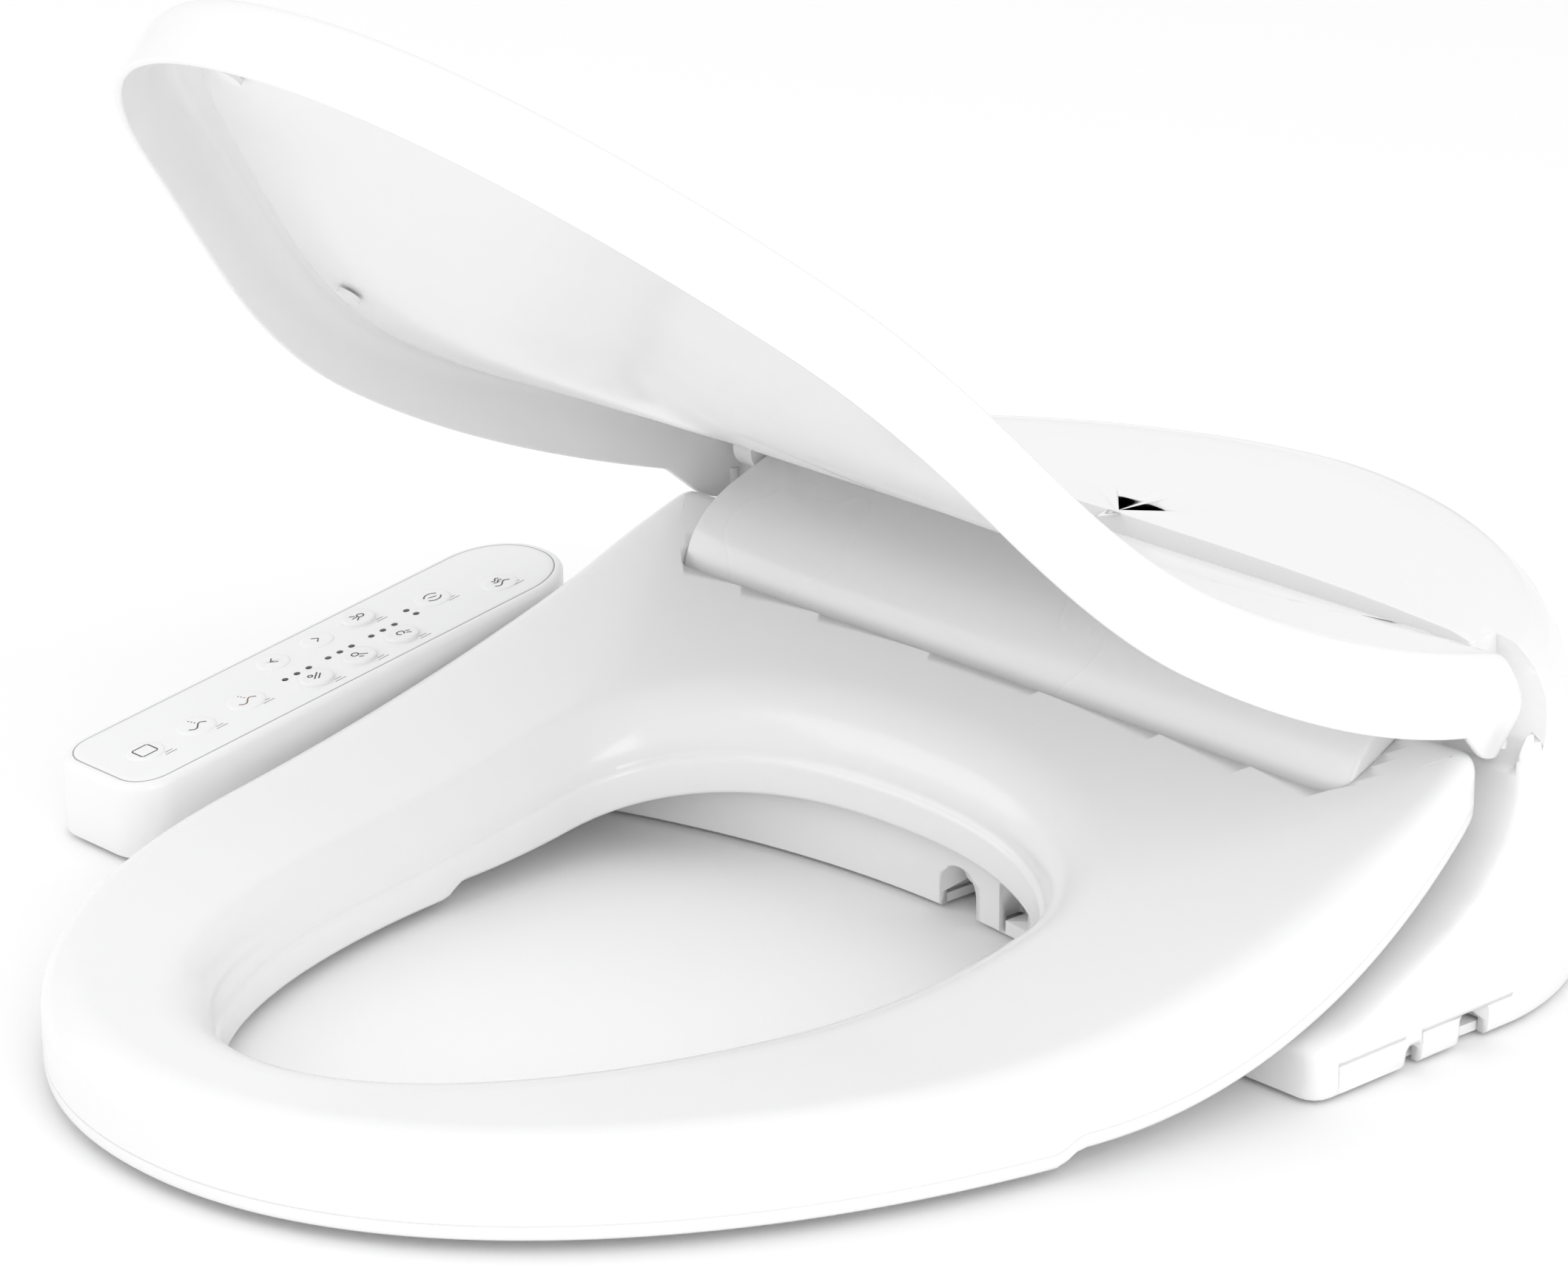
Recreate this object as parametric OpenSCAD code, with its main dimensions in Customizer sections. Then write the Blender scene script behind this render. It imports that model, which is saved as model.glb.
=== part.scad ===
/* [Seat] */
// Full width of the seat ring at its widest
seat_w = 372; // [368:0.5:372]
// Distance from the bolt line to the tip of the seat
seat_reach = 478; // [470:1:480]
// Width of the opening in the seat
opening_w = 200; // [190:1:204]
// Height of the seat's top at the front
seat_front_z = 33; // [32:0.5:34]
// Wall of the moulded shells
wall = 3; // [2.6:0.1:3.2]

/* [Lid] */
// Angle that the lid stands open at rest
lid_rest_angle = 42.1; // [38:0.1:46]
// Wall of the lid shell
lid_wall = 2.6; // [2.2:0.1:3]

/* [Housing] */
// Full width of the housing
housing_w = 388; // [386:1:390]
// Depth of the domed part behind its widest line
dome_depth = 158; // [152:1:160]
// Height of the dome's crown
dome_z = 111; // [110:0.5:114]

/* [Mounting] */
// Distance between the two toilet bolts
bolt_spacing = 140; // [136:1:150]
// Width of each bolt slot
bolt_slot_w = 12; // [10:0.5:14]
// Length of each bolt slot, end to end
bolt_slot_l = 26; // [20:1:30]

/* [Panel] */
// Width of the control panel arm
panel_w = 50.5; // [49:0.5:52]
// Height of the panel's top at its front end
panel_front_z = 27; // [26:0.5:29]
// Diameter of a round button
button_d = 12; // [10:0.5:13]
// Travel of a button
button_travel = 0.8; // [0.5:0.1:1]

/* [Nozzle] */
// Diameter of the wash nozzle
nozzle_d = 12; // [10:0.5:12.4]
// Length of the wash nozzle
nozzle_l = 140; // [130:1:142]

/* [Hidden] */
$fn = 48;

white = "white";
shade = "whitesmoke";
grey = "lightgray";
dark = "dimgray";

seat_half = seat_w/2;
seat_mid_y = -193;
seat_power = 2.08;
tail_l = 276;
half_opening = opening_w/2;
opening_mid_y = -235;
opening_front = 199;
opening_rear = 55;
ear_x = 150;
ear_r = 11;
notch_y = -145;
ear_end_y = -111;
seat_pin_y = -124;
seat_pin_z = 74;
seat_pin_r = 5;

lid_axis_y = -98;
lid_axis_z = 100;
lid_half = seat_half + 3.2;
lid_pin_r = 2.5;

half_w = housing_w/2;
dome_mid_y = -112;
dome_power = 1.8;
nose_half = 149.4;
pocket_half = 166.5;
step_y = -86;
arm_front_y = -199;
floor_z = 1.5;
floor_t = 3;
floor_top = floor_z + floor_t + 0.1;

panel_x0 = -189.5 - panel_w;
panel_x1 = -189.5;
panel_y0 = -337.5;
panel_y1 = -145;
panel_slope = 9.84;
panel_wall = 2.2;

nozzle_x = 18;
nozzle_y = -166;
nozzle_z = 11.8;
nozzle_dip = 25;

function ease(t) = let (u = max(0, min(1, t))) u*u*(3 - 2*u);
function mix(a, b, t) = a + (b - a)*t;
function unit(v) = v/norm(v);

// Height of the seat's crest, of its underside, and of the closed lid's rim and crest.
function seat_top(y) = seat_front_z + 0.001224*pow(max(0, y + 320), 2);
function seat_low(y) = 4 + 4*ease((y + 290)/16) + 0.00218*pow(max(0, y + 275), 2);
function lid_rim(y) = seat_top(y) + 3.5 - 13*ease((y + 390)/150);
function lid_top(y) = min(lid_rim(y) + 23 + 6*ease((y + 300)/200), 107.5 - 0.09*(y + 106));

// The front wall of the housing follows the opening's rear edge.
function wall_y(x) = max(-172 - 0.00146*x*x, arm_front_y);

// Right half of the seat's outline, from the tip to the middle of the rear notch.
function front_curve(half, mid_y, length, n, count) =
    [for (i = [0:count]) let (a = 90*i/count)
        [half*pow(sin(a), 2/n), mid_y - length*pow(cos(a), 2/n)]];
function tail_x(half, y) = half*sqrt(1 - pow((y - seat_mid_y)/tail_l, 2));
function arc(c, r, a0, a1, count) =
    [for (i = [0:count]) let (a = mix(a0, a1, i/count)) [c.x + r*cos(a), c.y + r*sin(a)]];

seat_half_path = concat(
    front_curve(seat_half, seat_mid_y, seat_reach + seat_mid_y, seat_power, 18),
    [for (i = [1:4]) let (y = mix(seat_mid_y, notch_y - ear_r - 1, i/4)) [tail_x(seat_half, y), y]],
    arc([tail_x(seat_half, notch_y) - ear_r, notch_y - ear_r], ear_r, 0, 90, 4),
    [for (i = [1:8]) [mix(tail_x(seat_half, notch_y) - ear_r, 0, i/8), notch_y]]
);
half_count = len(seat_half_path) - 1;
function mirrored(path) = concat(path, [for (i = [len(path) - 2:-1:1]) [-path[i].x, path[i].y]]);
seat_path = mirrored(seat_half_path);

// The opening's outline, with one point for each point of the outer outline.
function opening_angle(i) =
    i <= 18 ? 90*i/18 : mix(90, 180, (i - 18)/(half_count - 18));
function opening_point(a) = a <= 90
    ? [half_opening*pow(sin(a), 2/2.1), opening_mid_y - opening_front*pow(cos(a), 2/2.1)]
    : [half_opening*pow(sin(a), 2/2.3), opening_mid_y + opening_rear*pow(-cos(a), 2/2.3)];
opening_path = mirrored([for (i = [0:half_count]) opening_point(opening_angle(i))]);

// Unit normal to the left of a closed path at point i.
function normal(path, i) =
    let (n = len(path), a = path[(i + n - 1) % n], b = path[(i + 1) % n], t = unit(b - a)) [-t.y, t.x];
function shifted(path, i, d) = path[i] + normal(path, i)*d;

// Round-over of the seat's outer edge: wide along the sides, tight at the ears and the notch.
function edge_r(y) = mix(13, 7, ease((y + 190)/40));
inner_r = 17;

// A closed ring of equal sections.
module ring(sections) {
    n = len(sections);
    m = len(sections[0]);
    points = [for (s = sections) each s];
    faces = [for (i = [0:n - 1], j = [0:m - 1])
        let (a = i*m + j, b = i*m + (j + 1) % m, c = ((i + 1) % n)*m + j, d = ((i + 1) % n)*m + (j + 1) % m)
        each [[a, b, d], [a, d, c]]];
    polyhedron(points, faces);
}

// A stack of equal rings closed by a point at each end.
module stack(first, rings, last) {
    n = len(rings);
    m = len(rings[0]);
    points = concat([first], [for (r = rings) each r], [last]);
    top = [for (j = [0:m - 1]) [0, 1 + (j + 1) % m, 1 + j]];
    sides = [for (i = [0:n - 2], j = [0:m - 1])
        let (a = 1 + i*m + j, b = 1 + i*m + (j + 1) % m, c = a + m, d = b + m)
        each [[a, d, c], [a, b, d]]];
    base = [for (j = [0:m - 1]) [n*m + 1, 1 + (n - 1)*m + j, 1 + (n - 1)*m + (j + 1) % m]];
    polyhedron(points, concat(top, sides, base));
}

function lift(p, z) = [p.x, p.y, z];

// Section of the seat shell at station i: an inverted channel with a rounded outside.
function seat_section(i) =
    let (o = seat_path[i], c = opening_path[i], r = edge_r(o.y),
        on = normal(seat_path, i), cn = -normal(opening_path, i),
        o2 = o + on*r, c2 = c + cn*inner_r,
        outer = [for (a = [0:30:90]) let (p = o + on*r*(1 - cos(a))) lift(p, seat_top(p.y) - r*(1 - sin(a)))],
        inner = [for (a = [90:-30:0]) let (p = c + cn*inner_r*(1 - cos(a)))
            lift(p, seat_top(p.y) - inner_r*(1 - sin(a)))],
        crest = [for (t = [1/3, 2/3]) let (p = mix(o2, c2, t)) lift(p, seat_top(p.y))],
        ow = o + on*wall, cw = c + cn*wall)
    concat([lift(o, seat_low(o.y))], outer, crest, inner, [lift(c, seat_low(c.y))],
        [lift(cw, seat_low(cw.y)), lift(cw, seat_top(cw.y) - inner_r - 1), lift(c2, seat_top(c2.y) - wall),
         lift(mix(o2, c2, 0.5), seat_top(mix(o2, c2, 0.5).y) - wall), lift(o2, seat_top(o2.y) - wall),
         lift(ow, seat_top(ow.y) - r - 0.5), lift(ow, seat_low(ow.y))]);

// A flat strip inside the seat, between two insets from its outlines.
function strip_section(i, gap_o, gap_c, low, high) =
    let (o = shifted(seat_path, i, gap_o), c = shifted(opening_path, i, -gap_c))
    high > 0
        ? [lift(o, seat_low(o.y) + low), lift(o, seat_low(o.y) + high),
           lift(c, seat_low(c.y) + high), lift(c, seat_low(c.y) + low)]
        : [lift(o, seat_top(o.y) + low), lift(o, seat_top(o.y) + high),
           lift(c, seat_top(c.y) + high), lift(c, seat_top(c.y) + low)];

last_station = len(seat_path) - 1;

// An ear runs back from the ring beside the housing's nose and holds the hinge pin.
module seat_ear() {
    crest = [for (y = [-158:4:-119]) [y, seat_top(y) - 0.2]];
    under = [for (y = [ear_end_y - 2:-4:-158]) [y, seat_low(y)]];
    intersection() {
        across(ear_x, 190) polygon(concat(crest,
            [[ear_end_y - 5, seat_top(ear_end_y - 5) - 1], [ear_end_y - 1.5, seat_top(ear_end_y) - 4],
             [ear_end_y, seat_top(ear_end_y) - 8], [ear_end_y, seat_low(ear_end_y) + 1]], under));
        linear_extrude(120) polygon(concat(
            [[ear_x, -170]], [for (y = [-170:4:-110]) [tail_x(seat_half, y) - 0.2, y]], [[ear_x, -106]]));
    }
}
module seat_shell() {
    color(white) {
        ring([for (i = [0:last_station]) seat_section(i)]);
        for (s = [0, 1]) mirror([s, 0, 0]) difference() {
            seat_ear();
            translate([0, 0, -2]) linear_extrude(120) polygon([[0, -300], [200, -300], [200, -147.9], [0, -147.9]]);
        }
    }
}
module seat_underside() {
    color(white) ring([for (i = [0:last_station]) strip_section(i, wall + 1, wall + 1, 0.2, 2.6)]);
}
module seat_heater() {
    color("silver") ring([for (i = [0:last_station])
        strip_section(i, edge_r(seat_path[i].y) + 2, inner_r + 2, -wall - 4.2, -wall - 3.4)]);
}
module seat_bumpers() {
    color(dark) for (s = [-1, 1], p = [[62, -432, 4.1], [141, -330, 4.1], [146, -246, 8.9]])
        translate([s*p.x, p.y, 0]) cylinder(h = p.z - 0.05, r1 = 8, r2 = 9);
}
module seat_pins() {
    color(dark) for (s = [-1, 1]) translate([s*(ear_x - 0.1), seat_pin_y, seat_pin_z])
        rotate([0, -90*s, 0]) cylinder(h = 12, r = seat_pin_r);
}

// Right half of the closed lid's outline, from the tip to the middle of its rear edge.
lid_half_path = concat(
    front_curve(lid_half, seat_mid_y - 3, seat_reach + 6 + seat_mid_y - 3, seat_power, 18),
    [for (i = [1:4]) let (y = mix(seat_mid_y - 3, -131, i/4)) [tail_x(lid_half, y - 1), y]],
    arc([tail_x(lid_half, -130) - 16.4, -130], 16.4, 8, 90, 4),
    [[165.4, -110], [165.2, -96]],
    arc([158, -96], 7, 10, 90, 3),
    [for (i = [0:4]) [mix(148, 0, i/4), -89]]
);
lid_path = mirrored(lid_half_path);
lid_last = len(lid_path) - 1;
lid_centre = [0, -262];

// The rim rises to the plate along the rear edge, so that the edge clears the nose.
function rear_share(p) = ease((p.y + 136)/14);
function lid_edge_z(p, drop) = mix(lid_rim(p.y), lid_top(p.y) - drop, rear_share(p));
function toward(p, s) = lid_centre + (p - lid_centre)*s;
function lid_ring(inset, f) = [for (i = [0:lid_last]) let (p = shifted(lid_path, i, inset)) f(p)];
function lid_field(s, down, bulge) =
    [for (i = [0:lid_last]) let (p = toward(shifted(lid_path, i, 12), s))
        lift(p, lid_top(p.y) - down + bulge*(1 - s*s)*rear_fade(p.y))];
function rear_fade(y) = 1 - ease((y + 200)/90);
lid_bulge = 4;

module lid_frame() {
    translate([0, lid_axis_y, lid_axis_z]) rotate([-lid_rest_angle, 0, 0])
        translate([0, -lid_axis_y, -lid_axis_z]) children();
}
module lid_shell() {
    t = lid_wall;
    crown = lid_top(lid_centre.y) + lid_bulge;
    color(white) lid_frame() stack(
        lift(lid_centre, crown),
        [lid_field(0.35, 0, lid_bulge), lid_field(0.7, 0, lid_bulge), lid_field(0.9, 0, lid_bulge),
         lid_field(1, 0, lid_bulge),
         lid_ring(3.4, function (p) lift(p, lid_top(p.y) - mix(3.4, 0.4, rear_share(p)))),
         lid_ring(0, function (p) lift(p, lid_top(p.y) - mix(11, 1.2, rear_share(p)))),
         lid_ring(0, function (p) lift(p, lid_edge_z(p, 2.6))),
         lid_ring(t, function (p) lift(p, lid_edge_z(p, 2.6))),
         lid_ring(t, function (p) lift(p, lid_top(p.y) - mix(12, 2.58, rear_share(p)))),
         lid_ring(5.4, function (p) lift(p, lid_top(p.y) - mix(6, 2.56, rear_share(p)))),
         lid_field(1, t, lid_bulge), lid_field(0.9, t, lid_bulge), lid_field(0.7, t, lid_bulge),
         lid_field(0.35, t, lid_bulge)],
        lift(lid_centre, crown - t));
}
module lid_liner() {
    high = lid_wall + 1;
    low = lid_wall + 2.2;
    crown = lid_top(lid_centre.y) + lid_bulge;
    color(shade) lid_frame() stack(
        lift(lid_centre, crown - high),
        [lid_field(0.35, high, lid_bulge), lid_field(0.7, high, lid_bulge), lid_field(0.9, high, lid_bulge),
         lid_field(0.9, low, lid_bulge), lid_field(0.7, low, lid_bulge), lid_field(0.35, low, lid_bulge)],
        lift(lid_centre, crown - low));
}
module lid_lugs() {
    color(white) lid_frame() for (s = [-1, 1]) difference() {
        translate([s*151.5, lid_axis_y, lid_axis_z]) rotate([0, 90*s, 0]) cylinder(h = 9, r = 8);
        translate([s*156 - 6, lid_axis_y - 20, lid_axis_z + 0.8]) cube([12, 40, 12]);
    }
}
module lid_pins() {
    color(dark) lid_frame() for (s = [-1, 1]) translate([s*165.5, lid_axis_y, lid_axis_z])
        rotate([0, 90*s, 0]) cylinder(h = 5.5, r = lid_pin_r);
}
module lid_bumpers() {
    color(shade) lid_frame() for (s = [-1, 1], p = [[75, -430], [150, -290]])
        translate([s*p.x, p.y, lid_top(p.y) - 10.6]) cylinder(h = 3, r1 = 5, r2 = 6.5);
}

// The dome is a stack of half ellipses that share one straight front.
dome_levels = [[1, floor_z], [1, 20], [0.985, 40], [0.967, 60], [0.947, 80], [0.93, 90],
    [0.902, 98], [0.865, 103.5], [0.78, 107], [0.62, dome_z - 2], [0.4, dome_z - 0.6]];
function dome_ring(s, z, thick, front) = concat(
    [for (i = [0:32]) let (a = 180*i/32)
        [(half_w*s - thick)*sign(cos(a))*pow(abs(cos(a)), 2/dome_power),
         max(front, dome_mid_y + (dome_depth*s - thick)*pow(sin(a), 2/dome_power)), z]],
    front < dome_mid_y ? [[-(half_w*s - thick), front, z], [half_w*s - thick, front, z]] : []);
module dome_stack(thick, front) {
    low = thick > 0 ? -1 : 0;
    rings = [for (i = [len(dome_levels) - 1:-1:0]) let (l = dome_levels[i])
        dome_ring(l[0], l[1] - (i == 0 ? -low*4 : thick), thick, front)];
    stack([0, -60, dome_z - thick], rings, [0, -60, floor_z + low*4]);
}
module pin_bores(x, y, z, r, length) {
    for (s = [-1, 1]) translate([s*x, y, z]) rotate([0, 90*s, 0]) cylinder(h = length, r = r);
}
module rear_cover() {
    color(white) difference() {
        dome_stack(0, -107);
        difference() {
            dome_stack(wall, -104);
            translate([-pocket_half - wall, -120, 74]) cube([2*(pocket_half + wall), 120 + step_y + wall, 60]);
        }
        translate([-190.3, -120, -1]) cube([380.6, 30, floor_top + 1]);
        translate([-200, -86.4, 5.6]) cube([24, 14.8, 8.8]);
        translate([-nose_half - 0.3, -120, -10]) cube([2*(nose_half + 0.3), 120 + step_y, 140]);
        for (s = [-1, 1]) translate([s*158 - 8.5, -120, -10]) cube([17, 120 + step_y - 0.5, 140]);
        pin_bores(160, lid_axis_y, lid_axis_z, lid_pin_r + 0.05, 14);
        translate([118, -30, 12]) rotate([0, 0, 60]) rotate([0, 90, 0]) cylinder(h = 70, r = 5.2);
    }
}

// Profiles are y, z pairs that are extruded across the housing.
module across(x0, x1) {
    translate([x0, 0, 0]) rotate([90, 0, 90]) linear_extrude(x1 - x0) children();
}
nose_profile = concat(
    [[-210, floor_z], [-210, 12.5]],
    [for (y = [-205:8.5:-146]) [y, seat_low(y) - 4.5]],
    [[-141.5, 47], [-139, 69], [-136, 73], [-134, 78], [-131, 82], [-126, 87], [-119, 92], [-112, 95],
     [-105, 98.5], [-97.2, 99.8], [-101, 86], [step_y - 0.3, 86], [step_y - 0.3, floor_z]]
);
nose_hollow = concat(
    [[-220, -1], [-220, 9]],
    [for (y = [-205:8.5:-146]) [y, seat_low(y) - 7.5]],
    [[-139, 45], [-136, 68], [-133, 72], [-128, 80], [-123, 85], [-117, 89], [-110, 92],
     [-103, 94.5], [-104.5, 83], [-60, 83], [-60, -1]]
);
module plan_region(inset, depth) {
    linear_extrude(200) polygon(concat(
        [for (x = [-150:10:150]) [x, wall_y(x) + inset]], [[160, depth], [-160, depth]]));
}
module front_cover() {
    color(white) difference() {
        intersection() {
            across(-nose_half, nose_half) polygon(nose_profile);
            plan_region(0, -50);
        }
        intersection() {
            across(-nose_half + wall, nose_half - wall) polygon(nose_hollow);
            translate([0, 0, -10]) plan_region(wall, -40);
        }
        pin_bores(130, seat_pin_y, seat_pin_z, seat_pin_r + 0.05, 30);
        translate([nozzle_x, -150, 8.6]) rotate([90, 0, 0]) cylinder(h = 60, r = 8.6);
        translate([nozzle_x - 8.6, -210, -2]) cube([17.2, 60, 10.6]);
        translate([37, -190, 6]) cube([14, 30, 12]);
        translate([-150, -165, -1]) cube([300, 100, floor_top + 1]);
        for (s = [-1, 1]) translate([s*138 - 13, -195.4, -1]) cube([26, 40, floor_top + 1]);
        translate([140, port_y, port_z]) rotate([0, 90, 0]) cylinder(h = 12, r = 4.3);
    }
}
ramp_profile = [[arm_front_y, floor_z], [arm_front_y, 14], [-197.5, 17], [-193, 19], [-183, 21], [-161, 31],
    [-142, 40], [-129, 48], [-117, 61], [-111, 73], [-108.4, 86], [-107.4, 99], [-107.4, floor_z]];
under_profile = [[arm_front_y, floor_z], [arm_front_y, 12], [-193, 14], [-183, 16], [-161, 26],
    [-142, 35], [-129, 42], [-117, 53], [-109.6, 66], [-108.6, 76], [step_y - 0.8, 76],
    [step_y - 0.8, floor_z]];
module side_cover(x_edge, arm_y) {
    difference() {
        union() {
            across(nose_half + 0.2, 181) polygon(under_profile_to(107.4));
            across(nose_half + 0.2, pocket_half - 0.3) polygon(under_profile);
            intersection() {
                across(181, x_edge) polygon(ramp_profile);
                translate([0, arm_y, 0]) cube([300, 200, 200]);
            }
        }
        translate([0, 0, -wall]) difference() {
            across(nose_half + 0.2 + wall, x_edge - wall) polygon(under_profile_to(110.4));
            translate([0, arm_front_y - 1, -1]) cube([300, 1 + wall, 200]);
        }
        translate([140, -195.4, -1]) cube([50.5, 120, floor_top + 1]);
    }
}
function under_profile_to(back) = concat(
    [[arm_front_y, floor_z], [arm_front_y, 12], [-193, 14], [-183, 16], [-161, 26], [-142, 35], [-129, 42],
     [-117, 53]],
    [[-back - 2, 62], [-back, 66], [-back, floor_z]]);
port_y = -121;
port_z = 14;
module right_side_cover() {
    color(white) difference() {
        side_cover(half_w, arm_front_y);
        translate([180, -178, 4]) cube([30, 38, 11]);
        translate([140, port_y, port_z]) rotate([0, 90, 0]) cylinder(h = 16, r = 4.3);
        translate([180, port_y - 9, port_z - 9]) cube([30, 18, 18]);
    }
}
module left_side_cover() {
    color(white) mirror([1, 0, 0]) side_cover(188.6, arm_front_y);
}
module service_cover() {
    color(shade) {
        translate([half_w - 2.6, -177.6, 4.4]) cube([2.2, 37.2, 10.2]);
        translate([half_w - 10, -160, 7]) cube([7.3, 4, 5]);
    }
}
module base_chassis() {
    color(shade) difference() {
        translate([0, 0, floor_z]) linear_extrude(floor_t) polygon(concat(
            [for (x = [-145:10:145]) [x, wall_y(x) + wall + 0.6]],
            [[186, arm_front_y + wall + 0.5], [189.5, -107]],
            [for (i = [0:24]) let (a = 180*i/24)
                [188*sign(cos(a))*pow(abs(cos(a)), 2/dome_power), dome_mid_y + (dome_depth - 5)*pow(sin(a), 2/dome_power)]],
            [[-184, -106], [-184, arm_front_y + wall + 0.5]]));
        translate([-92, -32, -5]) cube([184, 50, 20]);
        translate([nozzle_x - 9.2, -190, -5]) cube([18.4, 42, 20]);
        for (p = screw_points) translate([p.x, p.y, -1]) cylinder(h = 10, r = 2.2);
        translate([-108, -12, -1]) cylinder(h = 10, r = 7.4);
    }
}
screw_points = [[176, -186], [170, -70], [-160, -52], [-172, -186], [70, -160], [-70, -160], [0, 38]];
module case_screws() {
    color("silver") for (p = screw_points) translate([p.x, p.y, 0.6]) {
        cylinder(h = 0.9, r = 3.6);
        cylinder(h = 9, r = 2);
    }
}
module mounting_plate() {
    color(grey) difference() {
        union() {
            translate([-90, -30, 0]) cube([180, 46, 4]);
            for (y = [-25, 9]) translate([-88, y, 4]) cube([136, 4, 4]);
        }
        for (s = [-1, 1]) bolt_slot(s*bolt_spacing/2);
    }
}
module bolt_slot(x) {
    half = (bolt_slot_l - bolt_slot_w)/2;
    for (e = [-1, 1]) translate([x + e*half, 0, -1]) cylinder(h = 12, d = bolt_slot_w);
    translate([x - half, -bolt_slot_w/2, -1]) cube([2*half, bolt_slot_w, 12]);
}
module foot_pads() {
    color(dark) {
        for (p = [[150, -182], [-150, -182], [140, -36], [-140, -36]])
            translate([p.x, p.y, 0]) cylinder(h = floor_z - 0.05, r = 7);
        translate([-216, -312, 0]) cylinder(h = floor_z - 0.05, r = 8);
        translate([-216, -180, 0]) cylinder(h = floor_z - 0.05, r = 8);
    }
}
module release_button() {
    color(grey) {
        translate([-192.6, -86, 6]) cube([9, 14, 8]);
        translate([-183.8, -82, 8]) cube([14, 6, 4]);
    }
}
module water_inlet() {
    color(grey) {
        translate([156.2, port_y, port_z]) rotate([0, 90, 0]) difference() {
            union() {
                cylinder(h = 20, r = 7.6);
                cylinder(h = 5, r = 8.6);
                for (k = [0:5]) translate([0, 0, 8 + 2*k]) cylinder(h = 1.1, r = 7.9);
            }
            translate([0, 0, 3]) cylinder(h = 20, r = 5.4);
        }
    }
}
module inlet_filter() {
    color(dark) translate([159.4, port_y, port_z]) rotate([0, 90, 0]) difference() {
        cylinder(h = 12, r = 5.2);
        translate([0, 0, 1.5]) cylinder(h = 12, r = 4);
        for (a = [0:45:315]) rotate([0, 0, a]) translate([3, -0.8, 4]) cube([4, 1.6, 6]);
    }
}
module solenoid_valve() {
    color(grey) {
        translate([110, -126, 5]) cube([24, 22, 20]);
        translate([122, -115, 25.1]) cylinder(h = 16, r = 9);
    }
    color("brown") translate([122, -115, 41.2]) cylinder(h = 3, r = 6);
}
module flow_valve() {
    color(grey) {
        translate([62, -100, 5]) cube([26, 24, 22]);
        translate([75, -88, 27.1]) cylinder(h = 14, r = 10);
    }
}
module heater_tank() {
    color(shade) {
        translate([-136, -74, 14]) cube([76, 46, 56]);
        translate([-108, -12, 5]) difference() {
            cylinder(h = 26, r = 12);
            translate([0, 0, -1]) cylinder(h = 12, r = 7.2);
        }
        for (x = [-136, -74]) translate([x, -64, 4.7]) cube([8, 30, 9.2]);
    }
}
module drain_plug() {
    color(grey) translate([-108, -12, 1]) difference() {
        cylinder(h = 13, r = 7.1);
        translate([-5, -1, -1]) cube([10, 2, 2.6]);
    }
}
module water_tubes() {
    color("lightblue") {
        translate([134.2, port_y, port_z]) rotate([0, 90, 0]) cylinder(h = 21.8, r = 4);
        translate([88.2, -92, 14]) cube([31, 8, 8]);
        translate([113, -103.9, 14]) cube([6, 12, 8]);
        translate([-59.8, -64.5, 20]) cube([121.6, 5, 5]);
        translate([57, -88, 20]) cube([4.8, 23.4, 5]);
    }
}
module along_nozzle() {
    translate([nozzle_x, nozzle_y, nozzle_z]) rotate([nozzle_dip - 90, 0, 0]) children();
}
module nozzle_guide() {
    color(grey) along_nozzle() difference() {
        translate([0, 0, 34]) cylinder(h = 112, r = 9.2);
        translate([0, 0, 30]) cylinder(h = 120, r = nozzle_d/2 + 0.4);
    }
}
module nozzle_piston_cap() {
    color(grey) along_nozzle() translate([0, 0, 146.2]) {
        cylinder(h = 4, r = 9.2);
        cylinder(h = 9, r = 3.5);
    }
}
module wash_nozzle() {
    color("silver") along_nozzle() translate([0, 0, 14.1]) cylinder(h = nozzle_l - 14.1, d = nozzle_d);
}
module nozzle_tip() {
    color(shade) along_nozzle() difference() {
        union() {
            translate([0, 0, 5]) cylinder(h = 9, d = nozzle_d);
            translate([0, 0, 5]) sphere(d = nozzle_d);
        }
        for (k = [-1:1]) translate([0, 0, 8 + 2.2*k]) rotate([90, 0, 0]) cylinder(h = 10, r = 0.6);
    }
}
fan_x = 100;
fan_y = -28;
module fan_housing() {
    color(grey) translate([fan_x, fan_y, 5]) difference() {
        union() {
            cylinder(h = 26, r = 30);
            translate([-46, -30, 0]) cube([46, 18, 26]);
        }
        translate([0, 0, 2]) cylinder(h = 22, r = 28);
        translate([-50, -28, 2]) cube([50, 14, 22]);
        translate([0, 0, 20]) cylinder(h = 10, r = 14);
        translate([0, 0, -1]) cylinder(h = 10, r = 2.4);
    }
}
module fan_impeller() {
    color(dark) translate([fan_x, fan_y, 8.4]) difference() {
        union() {
            cylinder(h = 1.6, r = 25);
            cylinder(h = 16, r = 5);
            for (k = [0:11]) rotate([0, 0, 30*k]) translate([15, -0.8, 1.5]) cube([9.4, 1.6, 15]);
        }
        translate([0, 0, 5]) cylinder(h = 30, r = 2.05);
    }
}
module fan_motor() {
    color(dark) translate([fan_x, fan_y, 0]) {
        translate([0, 0, 31.2]) cylinder(h = 18, r = 16);
        translate([0, 0, 14]) cylinder(h = 17, r = 2);
    }
}
module dryer_duct() {
    color(grey) difference() {
        translate([34, -160, 5.2]) cube([19.4, 106, 14]);
        translate([35.5, -165, 6.7]) cube([16.4, 120, 11]);
        translate([50, -57.5, 6.7]) cube([10, 2.5, 11]);
    }
}
module dryer_heater() {
    color("brown") for (k = [0:5]) translate([36, -130 + 4*k, 7.2]) cube([15.4, 0.8, 10]);
}
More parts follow.
